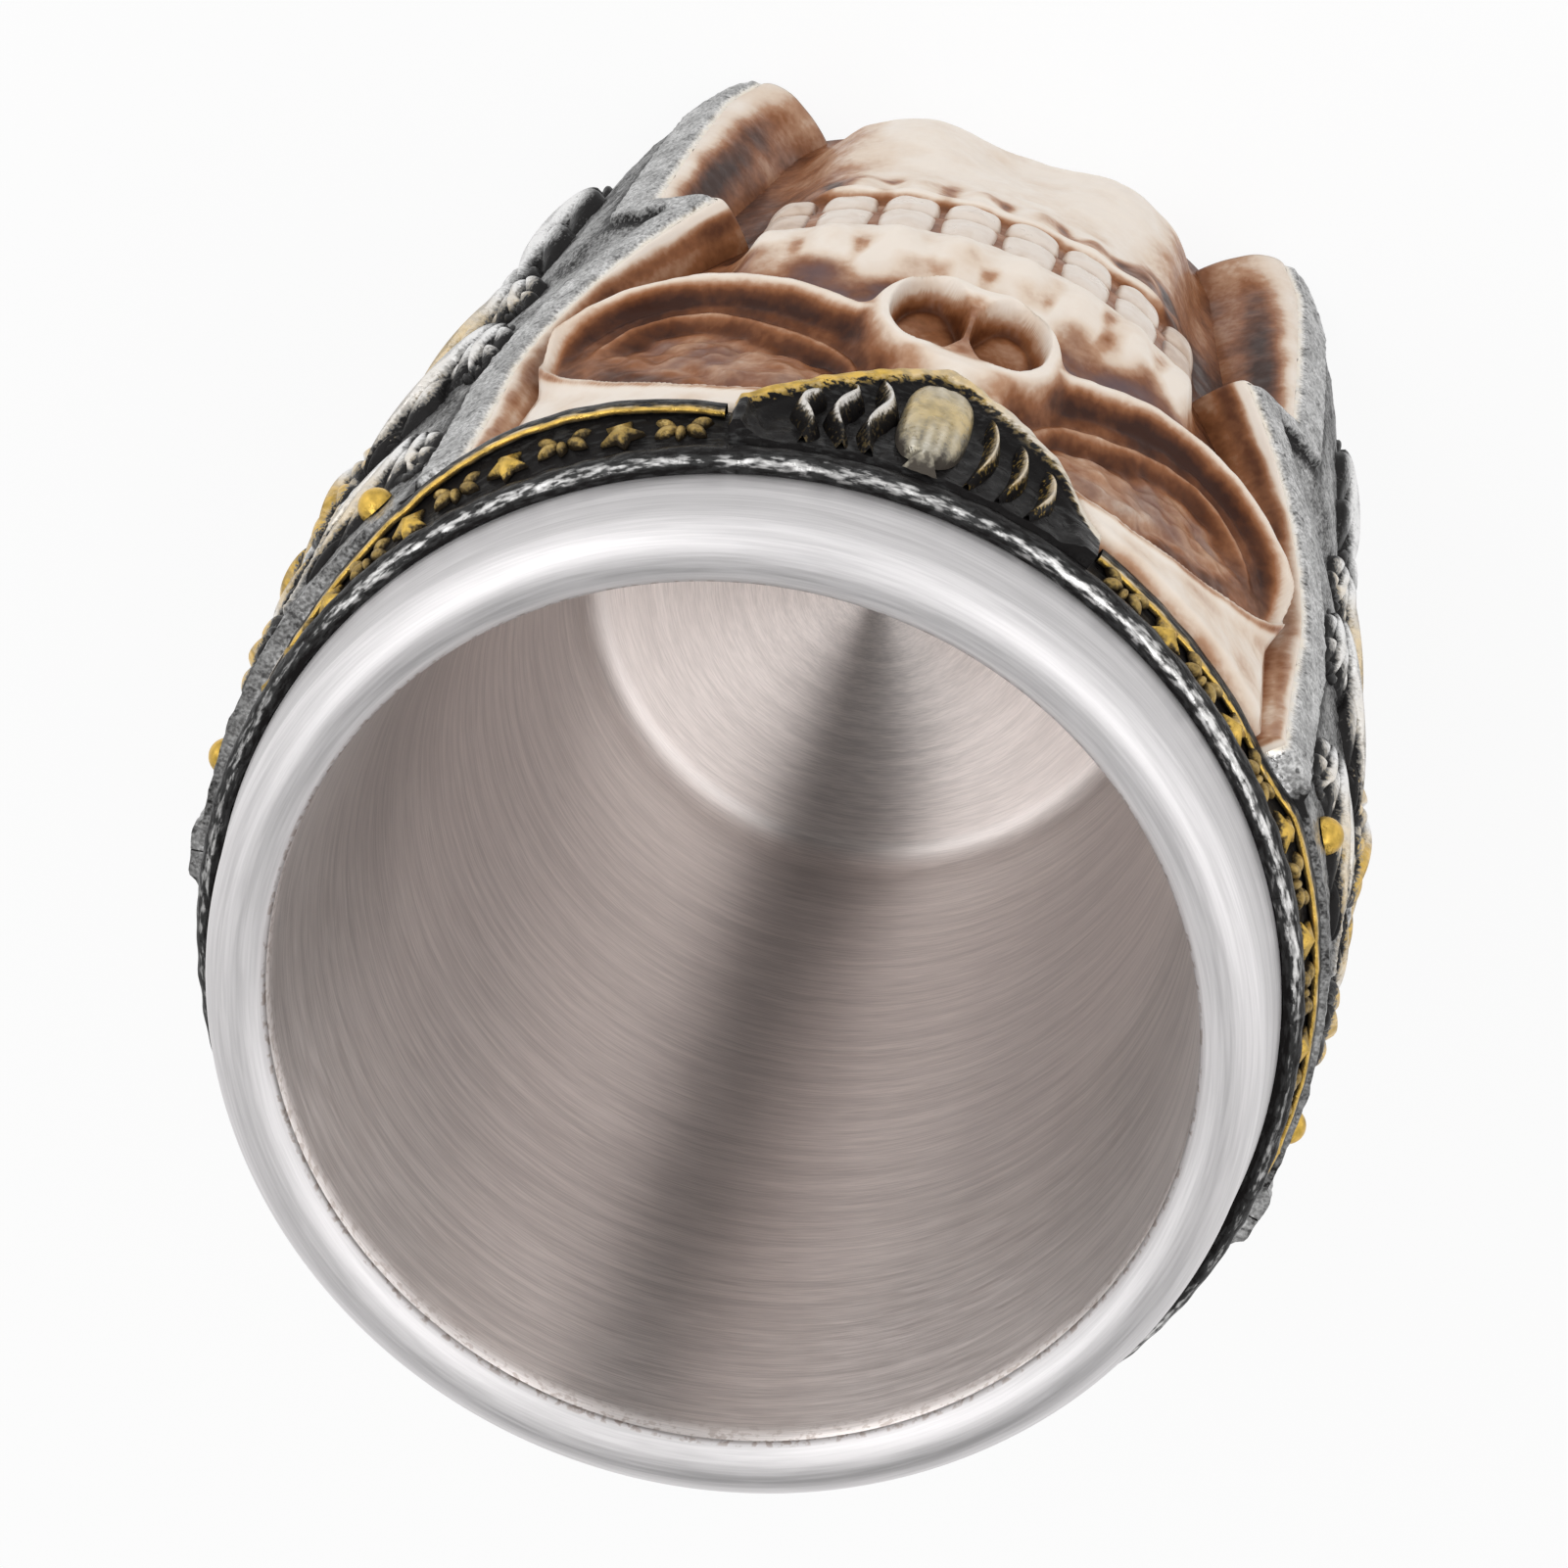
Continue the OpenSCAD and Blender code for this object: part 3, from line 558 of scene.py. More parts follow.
def brow_low(t):
    """Height of the brow plate's lower edge."""
    return mix(BROW_POINT_Z, BAND_Z + 0.4, np.clip(np.abs(t) / BROW_TURN, 0, 1) ** 1.15)


def brow_face(z):
    """Radius of the brow plate's face."""
    f = np.clip((z - BROW_POINT_Z) / (COLLAR_Z - BROW_POINT_Z), 0, 1)
    return mix(BROW_SEAT_R + BROW_T, SLEEVE_R + CHANNEL_T + BROW_TOP_T, f)


# Skull

def from_crest(away, q, radius):
    """Distance from an oval, for points away from its middle with q of 1 on the oval."""
    tiny = 0.001
    away = away + tiny * radius
    return away - away / (q + tiny)


# The ridge at the end of the orbit's terrace: its distance from the rim and its height
SECOND_RIDGE = 4.1
SECOND_RIDGE_H = 0.35

# How far the orbit drops from its rim
ORBIT_STEP = 2.2


def orbit_place(s, z):
    """Distance from the crest of the orbit's rim, negative inside, and the height in the tilted orbit."""
    ds, dz = s - ORBIT_S, z - ORBIT_Z
    u = ds * math.cos(ORBIT_TILT) - dz * math.sin(ORBIT_TILT)
    v = ds * math.sin(ORBIT_TILT) + dz * math.cos(ORBIT_TILT)
    q = ((np.abs(u) / ORBIT_A) ** 2.4 + (np.abs(v) / ORBIT_B) ** 2.4) ** (1 / 2.4)
    return from_crest(np.hypot(u, v), q, ORBIT_B), v


def orbit_low(v):
    """1 in the lower part of the tilted orbit, where its terrace shows."""
    return smooth(0.5 * ORBIT_B, -0.2 * ORBIT_B, v)


def orbit_skin(s, z, base):
    """The orbit: a thin rim, a terrace that ends in a second ridge below, and a rough floor."""
    d, v = orbit_place(s, z)
    low = orbit_low(v)
    rim = mix(SEAT_R + ORBIT_RISE, FACE_R + 0.1, smooth(ORBIT_Z - ORBIT_B, ORBIT_Z + ORBIT_B, z))
    outside = np.maximum(base, mix(base, rim, bell(d, mix(1.2, 1.3, low))))
    e = -d
    terrace = rim - ORBIT_STEP * smooth(0.2, 2.4, e) - 0.6 * smooth(2.4, 3.7, e)
    terrace = terrace + SECOND_RIDGE_H * bell(e - SECOND_RIDGE, 0.5)
    stepped = terrace - 0.9 * smooth(SECOND_RIDGE + 0.3, SECOND_RIDGE + 1.9, e)
    sharp = rim - ORBIT_STEP * smooth(0.0, 0.8, e)
    floor = CORE_R + 0.8 + 1.0 * smooth(5.5, 10, e)
    rough = 0.14 * ripple(s, z, 3.2, 1.3) * smooth(4.6, 6, e)
    return np.where(d > 0, outside, np.maximum(mix(sharp, stepped, low), floor) + rough)


def nose_place(s, z):
    """Distance from the crest of the nose's rim, negative inside."""
    notch = 1 - 0.12 * bell(s, 2.2) * smooth(0, -NOSE_B / 2, z - NOSE_Z)
    q = np.hypot(s / NOSE_A, (z - NOSE_Z) / (NOSE_B * notch))
    return from_crest(np.hypot(s, z - NOSE_Z), q, NOSE_A)


def nose_hole(s, z):
    """1 inside the nose's two openings, which a thin septum parts."""
    q = np.hypot((np.abs(s) - 0.45 * NOSE_A) / (0.45 * NOSE_A), (z - NOSE_Z + 0.5) / (0.82 * NOSE_B))
    return smooth(1.02, 0.90, q) * smooth(0.15, 0.5, np.abs(s))


def nose_skin(s, z, base):
    """The nose: a standing rim round two flat-floored openings."""
    d = nose_place(s, z)
    crest = SEAT_R + NOSE_RISE - 0.13 * (z - NOSE_Z + NOSE_B)
    rim = mix(base, crest, np.where(d > 0, bell(d, 1.4), 1)) - 0.5 * smooth(-0.8, -3.0, d)
    return soft_max(base, rim, 0.5) - NOSE_DEPTH * nose_hole(s, z)


def arch_in(t):
    """How far the dental arch draws in at a turn."""
    return ARCH_DROP * (t / ARCH_TURN) ** 2


def arch(t):
    """1 on the dental arch, falling to 0 beyond its ends."""
    return smooth(ARCH_TURN + 3.5, ARCH_TURN - 2.5, np.abs(t))


def root_wave(t):
    """Bumps over the roots of the teeth."""
    return -np.cos(2 * math.pi * t / TOOTH_PITCH)


# The wash fills the gaps between the teeth by this much
BED_FILL = 1.15


def tooth_bed(t):
    """Radius of the bed behind the teeth."""
    return mix(SEAT_R, BED_R + BED_FILL - arch_in(t), arch(t))


NECK_Z = BITE_Z + UPPER_TOOTH_H
ROOT_Z = BITE_Z - LOWER_TOOTH_H
GUM_Z = NECK_Z + 4.5
ROOT_BUMP = 0.35
BRIDGE_RISE = 1.6


def upper_skin(t, z):
    """Skull above the bite."""
    s = t * SKIN
    roots = ROOT_BUMP * root_wave(t) * bell(z - GUM_Z - 1, 3.5)
    crest = SEAT_R + GUM_RISE - arch_in(t) + roots
    gum = crest - 0.7 * smooth(GUM_Z - 0.5, NECK_Z - 0.5, z)
    jaw = mix(FACE_R - 0.7, gum, arch(t))
    bone = mix(jaw, FACE_R - 0.3, smooth(GUM_Z, GUM_Z + 12, z))
    bone = mix(tooth_bed(t), bone, smooth(NECK_Z - 0.6, NECK_Z + 0.4, z))
    bridge = BRIDGE_RISE * bell(s, 4) * smooth(NOSE_Z - 2, NOSE_Z + 8, z)
    bridge = bridge * smooth(ORBIT_Z + 12, ORBIT_Z + 4, z)
    return nose_skin(s, z, orbit_skin(np.abs(s), z, bone + bridge))


def lower_skin(t, z):
    """Skull below the bite."""
    front = SEAT_R + JAW_RISE - 0.6 * arch_in(t) + ROOT_BUMP * root_wave(t) * bell(z - ROOT_Z + 5, 4)
    front = front + CHIN_BUMP * bell(np.abs(t) - 12, 6) * bell(z - CHIN_Z, 8)
    front = front - CHIN_CLEFT * bell(t, 7) * bell(z - CHIN_Z, 10)
    front = front - 0.5 * bell(z - ROOT_Z + 12, 5) + 0.4 * bell(z - ROOT_Z + 1.1, 0.7) * arch(t)
    rise = np.sqrt(smooth(3, 12, z)) * smooth(ARCH_TURN + 2.5, ARCH_TURN - 7.5, np.abs(t))
    return mix(mix(SEAT_R, front, rise), tooth_bed(t), smooth(ROOT_Z - 0.4, ROOT_Z + 0.4, z))


def gum_edge(s, z):
    """Height at which the pale gum ends, uneven like brushed paint."""
    return GUM_Z + 5.4 + 1.6 * bell(s + 4, 8) + 2.0 * ripple(s, z, 7, 1.7) - 2 * smooth(12, 22, np.abs(s))


def between_roots(t):
    """1 between the roots of two neighbouring teeth."""
    return np.clip(-root_wave(t), 0, 1) ** 2 * arch(t)


def stain_cover(s, z):
    """Uneven cover of the stains, from 0 to 1."""
    return np.clip(0.5 + 0.7 * ripple(s, z, 6, 2.9), 0, 1)


def from_guard(t, z):
    """Degrees of turn that remain from a place on the skull to the guard's foot."""
    return guard_foot(z) - np.abs(t)


def upper_wash(t, z):
    """Wash above the bite: cream rims, forehead, bridge and gum on a brown ground."""
    s = t * SKIN
    orbit_d, orbit_v = orbit_place(np.abs(s), z)
    nose_d = nose_place(s, z)
    low = orbit_low(orbit_v)
    in_orbit = smooth(-0.2, -0.9, orbit_d) * smooth(0.5, 1.5, nose_d)
    in_hole = nose_hole(s, z)
    groove = low * (bell(orbit_d + 1.9, 0.8) + 0.3 * bell(orbit_d + SECOND_RIDGE + 1.3, 0.9))
    crest = 0.78 * bell(orbit_d + 0.3, 0.65) + 0.3 * low * bell(orbit_d + SECOND_RIDGE, 0.45)
    crest = crest * smooth(2, 9, np.abs(s))
    forehead = smooth(0.2, 1.0, orbit_d) * smooth(0.2 * ORBIT_B, 0.6 * ORBIT_B, orbit_v)
    nose_rim = bell(nose_d + 0.5, 1.5) * (1 - in_hole)
    bridge = bell(s, 5.5) * smooth(NOSE_Z + 4, NOSE_Z + 8, z)
    edge = gum_edge(s, z)
    gum = smooth(NECK_Z - 0.6, NECK_Z + 0.2, z) * smooth(edge + 4.5, edge - 2.5, z) * arch(t)
    pale = np.clip(np.maximum.reduce([crest, forehead, nose_rim, bridge, gum]), 0, 1)
    orbit_floor = smooth(-SECOND_RIDGE - 1, -SECOND_RIDGE - 3.5, orbit_d)
    ground = 0.64 + 0.08 * in_orbit - 0.28 * orbit_floor + 0.2 * groove
    ground = ground + 0.35 * smooth(7, 1, from_guard(t, z)) * (1 - in_orbit)
    stain = 0.42 * stain_cover(s, z) * between_roots(t) * bell(z - GUM_Z - 3 - ripple(s, z, 9, 0.8), 3.2)
    stain = stain + 0.13 * ripple(s, z, 5, 3.3) * bell(z - GUM_Z - 4, 4)
    # The forehead is painted darker on the side of negative turn: painted shade
    light = 0.04 + 0.06 * bridge + 0.1 * smooth(4, 14, -s) * forehead + np.clip(stain, 0, 1) * gum
    return mix(ground, light, pale) - 0.16 * in_hole


def lower_wash(t, z):
    """Wash below the bite: brown at the sides, with smudges on the chin below the teeth."""
    s = t * SKIN
    up = z - ROOT_Z
    cover = 0.6 * between_roots(t) * bell(up + 4.6, 3.4) + 0.28 * arch(t) * bell(up + 5, 4.5)
    cover = cover + 0.45 * smooth(3, 15, -s) * bell(up + 5, 5)
    smudge = stain_cover(s, z) * cover + 0.35 * bell(up - 0.1, 0.4) * arch(t)
    sides = smooth(13, 25, np.abs(t)) * (0.45 + 0.3 * smooth(20, 36, z))
    return smudge + sides + 0.25 * smooth(4, 0.5, from_guard(t, z))


def skull_wash(t, z, r):
    """Brown wash on the skull: cream on what stands up, brown in hollows and beside the helmet."""
    rows = smooth(ROOT_Z - 0.6, ROOT_Z + 0.2, z) * smooth(NECK_Z + 0.5, NECK_Z - 0.4, z)
    behind_teeth = 0.52 + 0.25 * smooth(18, 26, np.abs(t))
    wash = mix(np.where(z > BITE_Z, upper_wash(t, z), lower_wash(t, z)), behind_teeth, rows)
    hollow = np.clip(blurred(r, 5) - r, -0.4, 0.8)
    return np.clip(wash + 0.35 * hollow + 0.06 * ripple(t * SKIN, z, 9, 0.3), 0, 1)


def skull_violet(t, z):
    """Violet shade between the orbits, the nose and the gum."""
    s = np.abs(t * SKIN)
    orbit_d, _ = orbit_place(s, z)
    outside = smooth(0.5, 2.2, orbit_d) * smooth(1.0, 3.0, nose_place(s, z))
    edge = gum_edge(t * SKIN, z)
    between = outside * smooth(edge - 1, edge + 6, z) * bell(s - 12, 10)
    between = between * smooth(ORBIT_Z + 6, ORBIT_Z - 2, z)
    floor = 0.5 * smooth(-6, -8, orbit_d) * smooth(0.5, -0.5, ripple(s, z, 9, 2.2))
    return np.clip(between + floor, 0, 1)


def skull():
    """Face and lower jaw as one skin, finer over the nose."""
    half = np.concatenate([np.linspace(0, 11, 80), np.linspace(11, FACE_TURN, 134)[1:]])
    t = np.concatenate([-half[:0:-1], half])[:, None]
    nose_top = NOSE_Z + NOSE_B + 2
    nose_foot = NOSE_Z - NOSE_B - 2
    z = np.concatenate([np.linspace(0, nose_foot, 210), np.linspace(nose_foot, nose_top, 120)[1:],
                        np.linspace(nose_top, BAND_Z, 44)[1:]])[None, :]
    s = t * SKIN
    r = np.where(z > BITE_Z, upper_skin(t, z), lower_skin(t, z))
    r = r + 0.06 * ripple(s, z, 5, 0.7) + 0.02 * ripple(s, z, 1.7, 2.1)
    r = mix(SEAT_R, r, smooth(0.2, 3.0, from_guard(t, z)))
    under = smooth(BROW_TURN + 2.2, BROW_TURN + 1, np.abs(t)) * smooth(-1.2, -0.4, z - brow_low(t))
    r = mix(r, np.minimum(r, BROW_SEAT_R), under)
    r = r - 0.8 * smooth(BAND_Z - 1.6, BAND_Z, z) ** 2
    ledge = mix(r[:, -1:], SLEEVE_R + 0.2, np.linspace(0, 1, 5)[None, 1:])

    def ledged(values):
        return np.pad(values, [(0, 0), (0, ledge.shape[1])], mode="edge")

    points = np.concatenate([polar(t, r, z), polar(t, ledge, BAND_Z)], 1)
    grid_piece("skull_skin", BONE, "bone_resin", ["skull_face", "mandible"], points,
               wash=ledged(skull_wash(t, z, r)), violet=ledged(skull_violet(t, z)))


def tooth_row(name, z_low, z_high, neck, node):
    """A row of teeth on the dental arch, rounder toward the neck, which is up for 1 and down for -1."""
    row = Shape()
    u, v = np.meshgrid(np.linspace(-1, 1, 19), np.linspace(-1, 1, 19), indexing="ij")
    round_u = np.clip(1 - np.abs(u) ** 2.6, 0, 1) ** 0.5
    round_v = np.clip(1 - np.abs(v) ** 4, 0, 1) ** 0.5
    toward = (1 + neck * v) / 2
    z = mix(z_low, z_high, (v * (1 - (0.08 + 0.2 * toward) * (1 - round_u)) + 1) / 2)
    # Each tooth is painted darker toward its edges: brown wash in the joints, with painted shade on the
    # rounded edges; the outer teeth are darker still
    rim = 0.75 * smooth(0.72, 1.0, np.abs(u)) + 0.6 * smooth(0.84, 1.0, np.abs(v))
    for i in range(TOOTH_COUNT):
        t0 = (i - (TOOTH_COUNT - 1) / 2) * TOOTH_PITCH
        side = abs(t0) / ARCH_TURN
        half = TOOTH_PITCH / 2 - 0.06 - 0.1 * side
        t = t0 + half * u * (0.95 + 0.05 * round_v - 0.09 * toward ** 2)
        dent = 0.08 * ripple(u * 2 + 3 * i, v * 2 + z_low, 2.4, 0.9)
        r = tooth_bed(t) - 0.22 + (TOOTH_T - BED_FILL + 0.55 + dent - 0.2 * side) * round_u * round_v
        row.add_grid(polar(t, r, z), wash=np.clip(rim + 0.4 * smooth(0.55, 1, side), 0, 1))
    row.build(name, TOOTH, "tooth_resin", node)


skull()
tooth_row("teeth_upper", BITE_Z + SEAM, NECK_Z - 0.1, 1, "upper_teeth")
tooth_row("teeth_lower", ROOT_Z + 0.1, BITE_Z - SEAM, -1, "lower_teeth")


# Helmet

def tendrils(s, z, paths, width=0.9, height=0.7):
    """Height of thin raised lines along paths of points, each thinner toward its end."""
    rise = np.zeros(np.broadcast_shapes(s.shape, z.shape))
    for path in paths:
        for f, (ps, pz) in zip(np.linspace(0, 1, len(path)), path):
            w = width * (1.1 - 0.6 * f)
            near = np.clip(1 - ((s - ps) ** 2 + (z - pz) ** 2) / w ** 2, 0, 1)
            rise = np.maximum(rise, height * (1.1 - 0.4 * f) * np.sqrt(near))
    return rise


def bow_path(start, middle, end):
    """Points from a start to an end, bent toward a middle point."""
    f = np.linspace(0, 1, 42)[:, None]
    return (1 - f) ** 2 * np.array(start) + 2 * f * (1 - f) * np.array(middle) + f * f * np.array(end)


def scroll_path(start, reach, rise, size):
    """Points of a stalk that leaves a stem and rolls up in a spiral, to the side of the reach."""
    a = np.linspace(-0.5 * math.pi, 2.6 * math.pi, 70)
    shrink = size * np.linspace(1, 0.2, 70)
    across = start[0] + reach + math.copysign(1, reach) * shrink * np.cos(a)
    roll = np.stack([across, start[1] + rise + size + shrink * np.sin(a)], -1)
    middle = (start[0] + 0.5 * reach, start[1] + rise - 1)
    return np.concatenate([bow_path(start, middle, roll[0]), roll])


LEAF_LOBES = 3


def beside(t0, z0, heading, along, across):
    """Turn and height at lengths along and across a heading from a place."""
    a = math.radians(heading)
    t = t0 + (along * math.cos(a) - across * math.sin(a)) / SKIN
    return t, z0 + along * math.sin(a) + across * math.cos(a)


def leaf(shape, t0, z0, heading, length, width, bend, under, rise, gold=0.0):
    """Adds one leaf with pairs of lobes and a rib, laid on the radius that under(t, z) gives."""
    u, v = strip(64, 27)
    side = np.abs(v)
    lobe = np.abs(np.sin(math.pi * (LEAF_LOBES * u - 0.45 * side))) ** 0.8
    taper = np.sin(math.pi * u ** 0.8) ** 0.7
    half = width / 2 * taper * (0.55 + 0.55 * lobe)
    along = length * (u - 0.5) + 0.10 * length * side * taper
    across = bend * np.sin(math.pi * u) + half * v
    t, z = beside(t0, z0, heading, along, across)
    crown = np.clip(1 - side ** 4, 0, 1) ** 0.5 * np.sqrt(taper)
    rib = 0.22 * bell(v, 0.12) - 0.30 * bell(side - 0.28, 0.12)
    lift = crown * (0.25 + 0.75 * mix(lobe, 1, bell(v, 0.15)) + rib)
    worn = np.clip(2.2 * lift - 1.15, 0, 0.95)
    gilt = np.clip(1.4 * gold * smooth(0.15, 0.6, u) * smooth(0.35, 0.7, lift), 0, 1)
    shape.add_grid(polar(t, under(t, z) + rise * (lift - 0.12), z), relief=worn, gold=gilt)


def spray(shape, t0, z0, heading, length, width, bend, under, rise, gold):
    """Adds a leaf with a smaller one on each side of its foot."""
    for side in (-1, 1):
        t, z = beside(t0, z0, heading, -0.22 * length, side * 0.62 * width)
        leaf(shape, t, z, heading + side * 34, 0.62 * length, 0.72 * width, -side, under, 0.7 * rise,
             0.5 * gold)
    leaf(shape, t0, z0, heading, length, width, bend, under, rise, gold)


def guard_height(share):
    """Height at a share of the guards' height."""
    return mix(GUARD_LIFT, GUARD_TOP, share)


# Leaves of one cheek guard: turn, share of the height, heading, length, width, bend and gilding
CHEEK_LEAVES = [(64, 0.88, 62, 20, 8, 1.5, 0.3), (84, 0.85, 118, 20, 8, -1.5, 0.8),
                (61, 0.65, 50, 20, 8, 2, 0.1), (87, 0.63, 130, 20, 8, -2, 0.8),
                (73, 0.72, 90, 20, 7, 0, 0.9), (63, 0.44, 60, 20, 8, 2, 0.4),
                (84, 0.42, 120, 20, 8, -2, 0.8), (83, 0.19, 112, 22, 9, -2, 0.6)]
SCALE = (56, 0.19, 80, 27, 12, -2)

# Stem of one cheek guard: its turn, and the reach and the shares of the height of its scrolls
STEM_TURN = 73
SCROLL_REACH = 9
FRONT_SCROLLS = (0.05, 0.34, 0.56, 0.79)
BACK_SCROLLS = (0.29, 0.52, 0.72)

# Ornament on each half of the nape plate, with its stem at a skin length from the keel
NAPE_STEM = 36
NAPE_LEAF_TURN = 26
NAPE_LEAF_SHARES = (0.14, 0.33, 0.52, 0.71, 0.90)
NAPE_LEAF_LENGTH = 20
NAPE_LEAF_WIDTH = 8.5
NAPE_SCROLLS = (0.03, 0.22, 0.41, 0.60, 0.79)
BEAD_PITCH = 3.4

# How far the reliefs stand out
LEAF_RISE = 1.75
NAPE_LEAF_RISE = 1.1
SCALE_RISE = 2.0

# How many times as far each guard's reliefs stand out, at the jaw and at the temple
LEFT_RISE = (1.45, 0.75)
RIGHT_RISE = (1.0, 0.85)

# Studs of one cheek guard: turn and share of the height
STUDS = [(60, 0.94), (93, 0.93), (93, 0.55), (93, 0.15)]
STUD_R = 1.6


def scroll(s, share, reach, rise, size=2.6):
    """One scroll from a stem at a share of the guards' height."""
    return scroll_path((s, guard_height(share)), reach, rise, size)


def leaf_shade(s, z, places):
    """1 round the leaves at places of turn, share of the height and length, where the silver stays dark."""
    shade = 0
    for turn, share, length in places:
        shade = np.maximum(shade, bell(np.hypot(s - turn * SKIN, z - guard_height(share)), 0.5 * length))
    return shade


def guard_tendrils(s, z):
    """Scrolls between the leaves of a cheek guard, with the stem that they grow from."""
    middle = STEM_TURN * SKIN
    low, waist, high = guard_height(0.04), guard_height(0.58), guard_height(0.97)
    stem = [bow_path((middle, low), (middle + 5, guard_height(0.35)), (middle - 1, waist)),
            bow_path((middle - 1, waist), (middle - 3, guard_height(0.78)), (middle, high))]
    twigs = [scroll(middle, share, -SCROLL_REACH, 1.5) for share in FRONT_SCROLLS]
    twigs += [scroll(middle, share, SCROLL_REACH, 1.5) for share in BACK_SCROLLS]
    trunk = tendrils(s, z, stem, 1.1, 0.8)
    return np.maximum(trunk, tendrils(s, z, twigs)), trunk


def plate_tone(s, z, level, places, lines):
    """How bright the silver is brushed on a plate: darker round its leaves and beside its raised lines."""
    shade = 0.26 * leaf_shade(s, z, places) + 0.6 * blurred(lines, 4)
    return level + 0.06 * ripple(s, z, 9, 1.9) - shade


# The helmet's skins reach this far into the skull
SUNK = 0.3


def helmet_skin(t, r, z, **paint):
    """A skin over the guards' height, closed onto the skull at its foot and at its top."""
    low = polar(t[:, :1], SEAT_R - SUNK, GUARD_LIFT)
    high = polar(t[:, -1:], SEAT_R - SUNK, GUARD_TOP)
    padded = {name: np.pad(values, [(0, 0), (1, 1)], mode="edge") for name, values in paint.items()}
    skin = Shape()
    skin.add_grid(np.concatenate([low, polar(t, r, z), high], 1), **padded)
    return skin


GUARD_ROWS = np.linspace(GUARD_LIFT, GUARD_TOP, 270)[None, :]


def guard_skin():
    """A left guard's outer skin with its border, stem and scrolls, on finer columns along its edge."""
    z = GUARD_ROWS
    front = guard_front(z)
    columns = np.concatenate([np.linspace(0, 0.12, 30)[:-1], np.linspace(0.12, 1, 110)])[:, None]
    t = mix(front, GUARD_BACK - SEAM, columns)
    s = t * SKIN
    d = t - front
    inside = smooth(BORDER_W + 0.4, BORDER_W + 2.0, d) * smooth(2.8, 4.5, GUARD_BACK - t)
    lines, stem = [rise * inside for rise in guard_tendrils(s, z)]
    hammer = 0.06 * ripple(s, z, 2.6, 1.1) + 0.04 * ripple(s, z, 1.2, 2.7)
    groove = bell(d - BORDER_W - 1.6, 1.2)
    edge = smooth(0.8, 0.1, d)
    back = smooth(2.6, 1.6, GUARD_BACK - t)
    border = np.maximum(smooth(BORDER_W + 0.8, BORDER_W, d), back)
    places = [row[:2] + row[3:4] for row in CHEEK_LEAVES + [SCALE]]
    field = plate_tone(s, z, 0.42, places, lines)
    relief = mix(field, 0.54, border) + 0.5 * edge - 0.35 * groove + 0.9 * np.clip(lines, 0, 1)
    gold = 0.4 * smooth(0.3, 0.7, stem) + 0.3 * edge
    return helmet_skin(t, guard_face(t, z) + lines + hammer, z, relief=np.clip(relief, 0, 1), gold=gold)


def guard_lining():
    """A left guard's inner face, in the skull's cream and brown."""
    z = GUARD_ROWS
    front = guard_front(z)
    g = np.linspace(0, 1, 26)[:, None]
    arched = np.sin(math.pi * g)
    r = mix(SEAT_R - SUNK, guard_face(front, z) + 0.05, np.sin(math.pi / 2 * g) ** 0.85)
    r = r + 0.3 * arched * smooth(30, 60, z)
    r = r + 0.08 * ripple(r * 1.5, z, 4, 1.9) * arched
    tip = smooth(62, 52, z) * smooth(43, 47, z)
    patch = bell(g - 0.38, 0.26) * (0.6 + 0.35 * bell(z - 30, 16)) * (0.35 + 0.65 * smooth(2, 12, z))
    patch = patch * mix(1, 0.55, smooth(58, 80, z))
    wash = 0.06 + patch + 0.4 * smooth(0.25, 0, g) - 0.5 * tip * smooth(0.3, 0.7, g)
    wash = wash + 0.06 * ripple(g * 9, z, 8, 0.5)
    return helmet_skin(mix(guard_foot(z) - 0.3, front, g), r, z, wash=np.clip(wash, 0, 1))


def guard_leaves(jaw_rise, temple_rise):
    """A left guard's leaves and its jaw scale."""
    def rise(share):
        return mix(jaw_rise, temple_rise, smooth(0.5, 0.85, share))

    leaves = Shape()
    for turn, share, *form, gilt in CHEEK_LEAVES:
        spray(leaves, turn, guard_height(share), *form, guard_face, LEAF_RISE * rise(share), gilt)
    scale = Shape()
    turn, share, *form = SCALE
    leaf(scale, turn, guard_height(share), *form, guard_face, SCALE_RISE * rise(share))
    return leaves, scale


def cheek_guards():
    """Both guards, the right one mirrored."""
    for side, rises in (("left", LEFT_RISE), ("right", RIGHT_RISE)):
        shapes = [guard_skin(), guard_lining(), *guard_leaves(*rises)]
        if side == "right":
            shapes = [shape.mirrored() for shape in shapes]
        outer, lining, leaves, scale = shapes
        outer.build("guard_" + side, SILVER, "silver_resin", "cheek_guard_" + side)
        lining.build("guard_lining_" + side, BONE, "bone_resin")
        leaves.build("guard_leaves_" + side, SILVER, "bright_silver_resin", "cheek_leaves_" + side)
        scale.build("guard_scale_" + side, SILVER, "bright_silver_resin", "jaw_scale_" + side)


def nape_place(t):
    """Degrees of turn from the nape plate's keel and from its edge."""
    from_keel = np.abs(t - 180)
    return from_keel, 180 - GUARD_BACK - from_keel


def nape_face(t, z):
    """Radius of the nape plate with its border and keel."""
    from_keel, from_edge = nape_place(t)
    field = smooth(2.5, 3.7, from_edge) * smooth(KEEL_HALF, KEEL_HALF + 1.5, from_keel)
    return guard_side(z) - FIELD_DEPTH * field


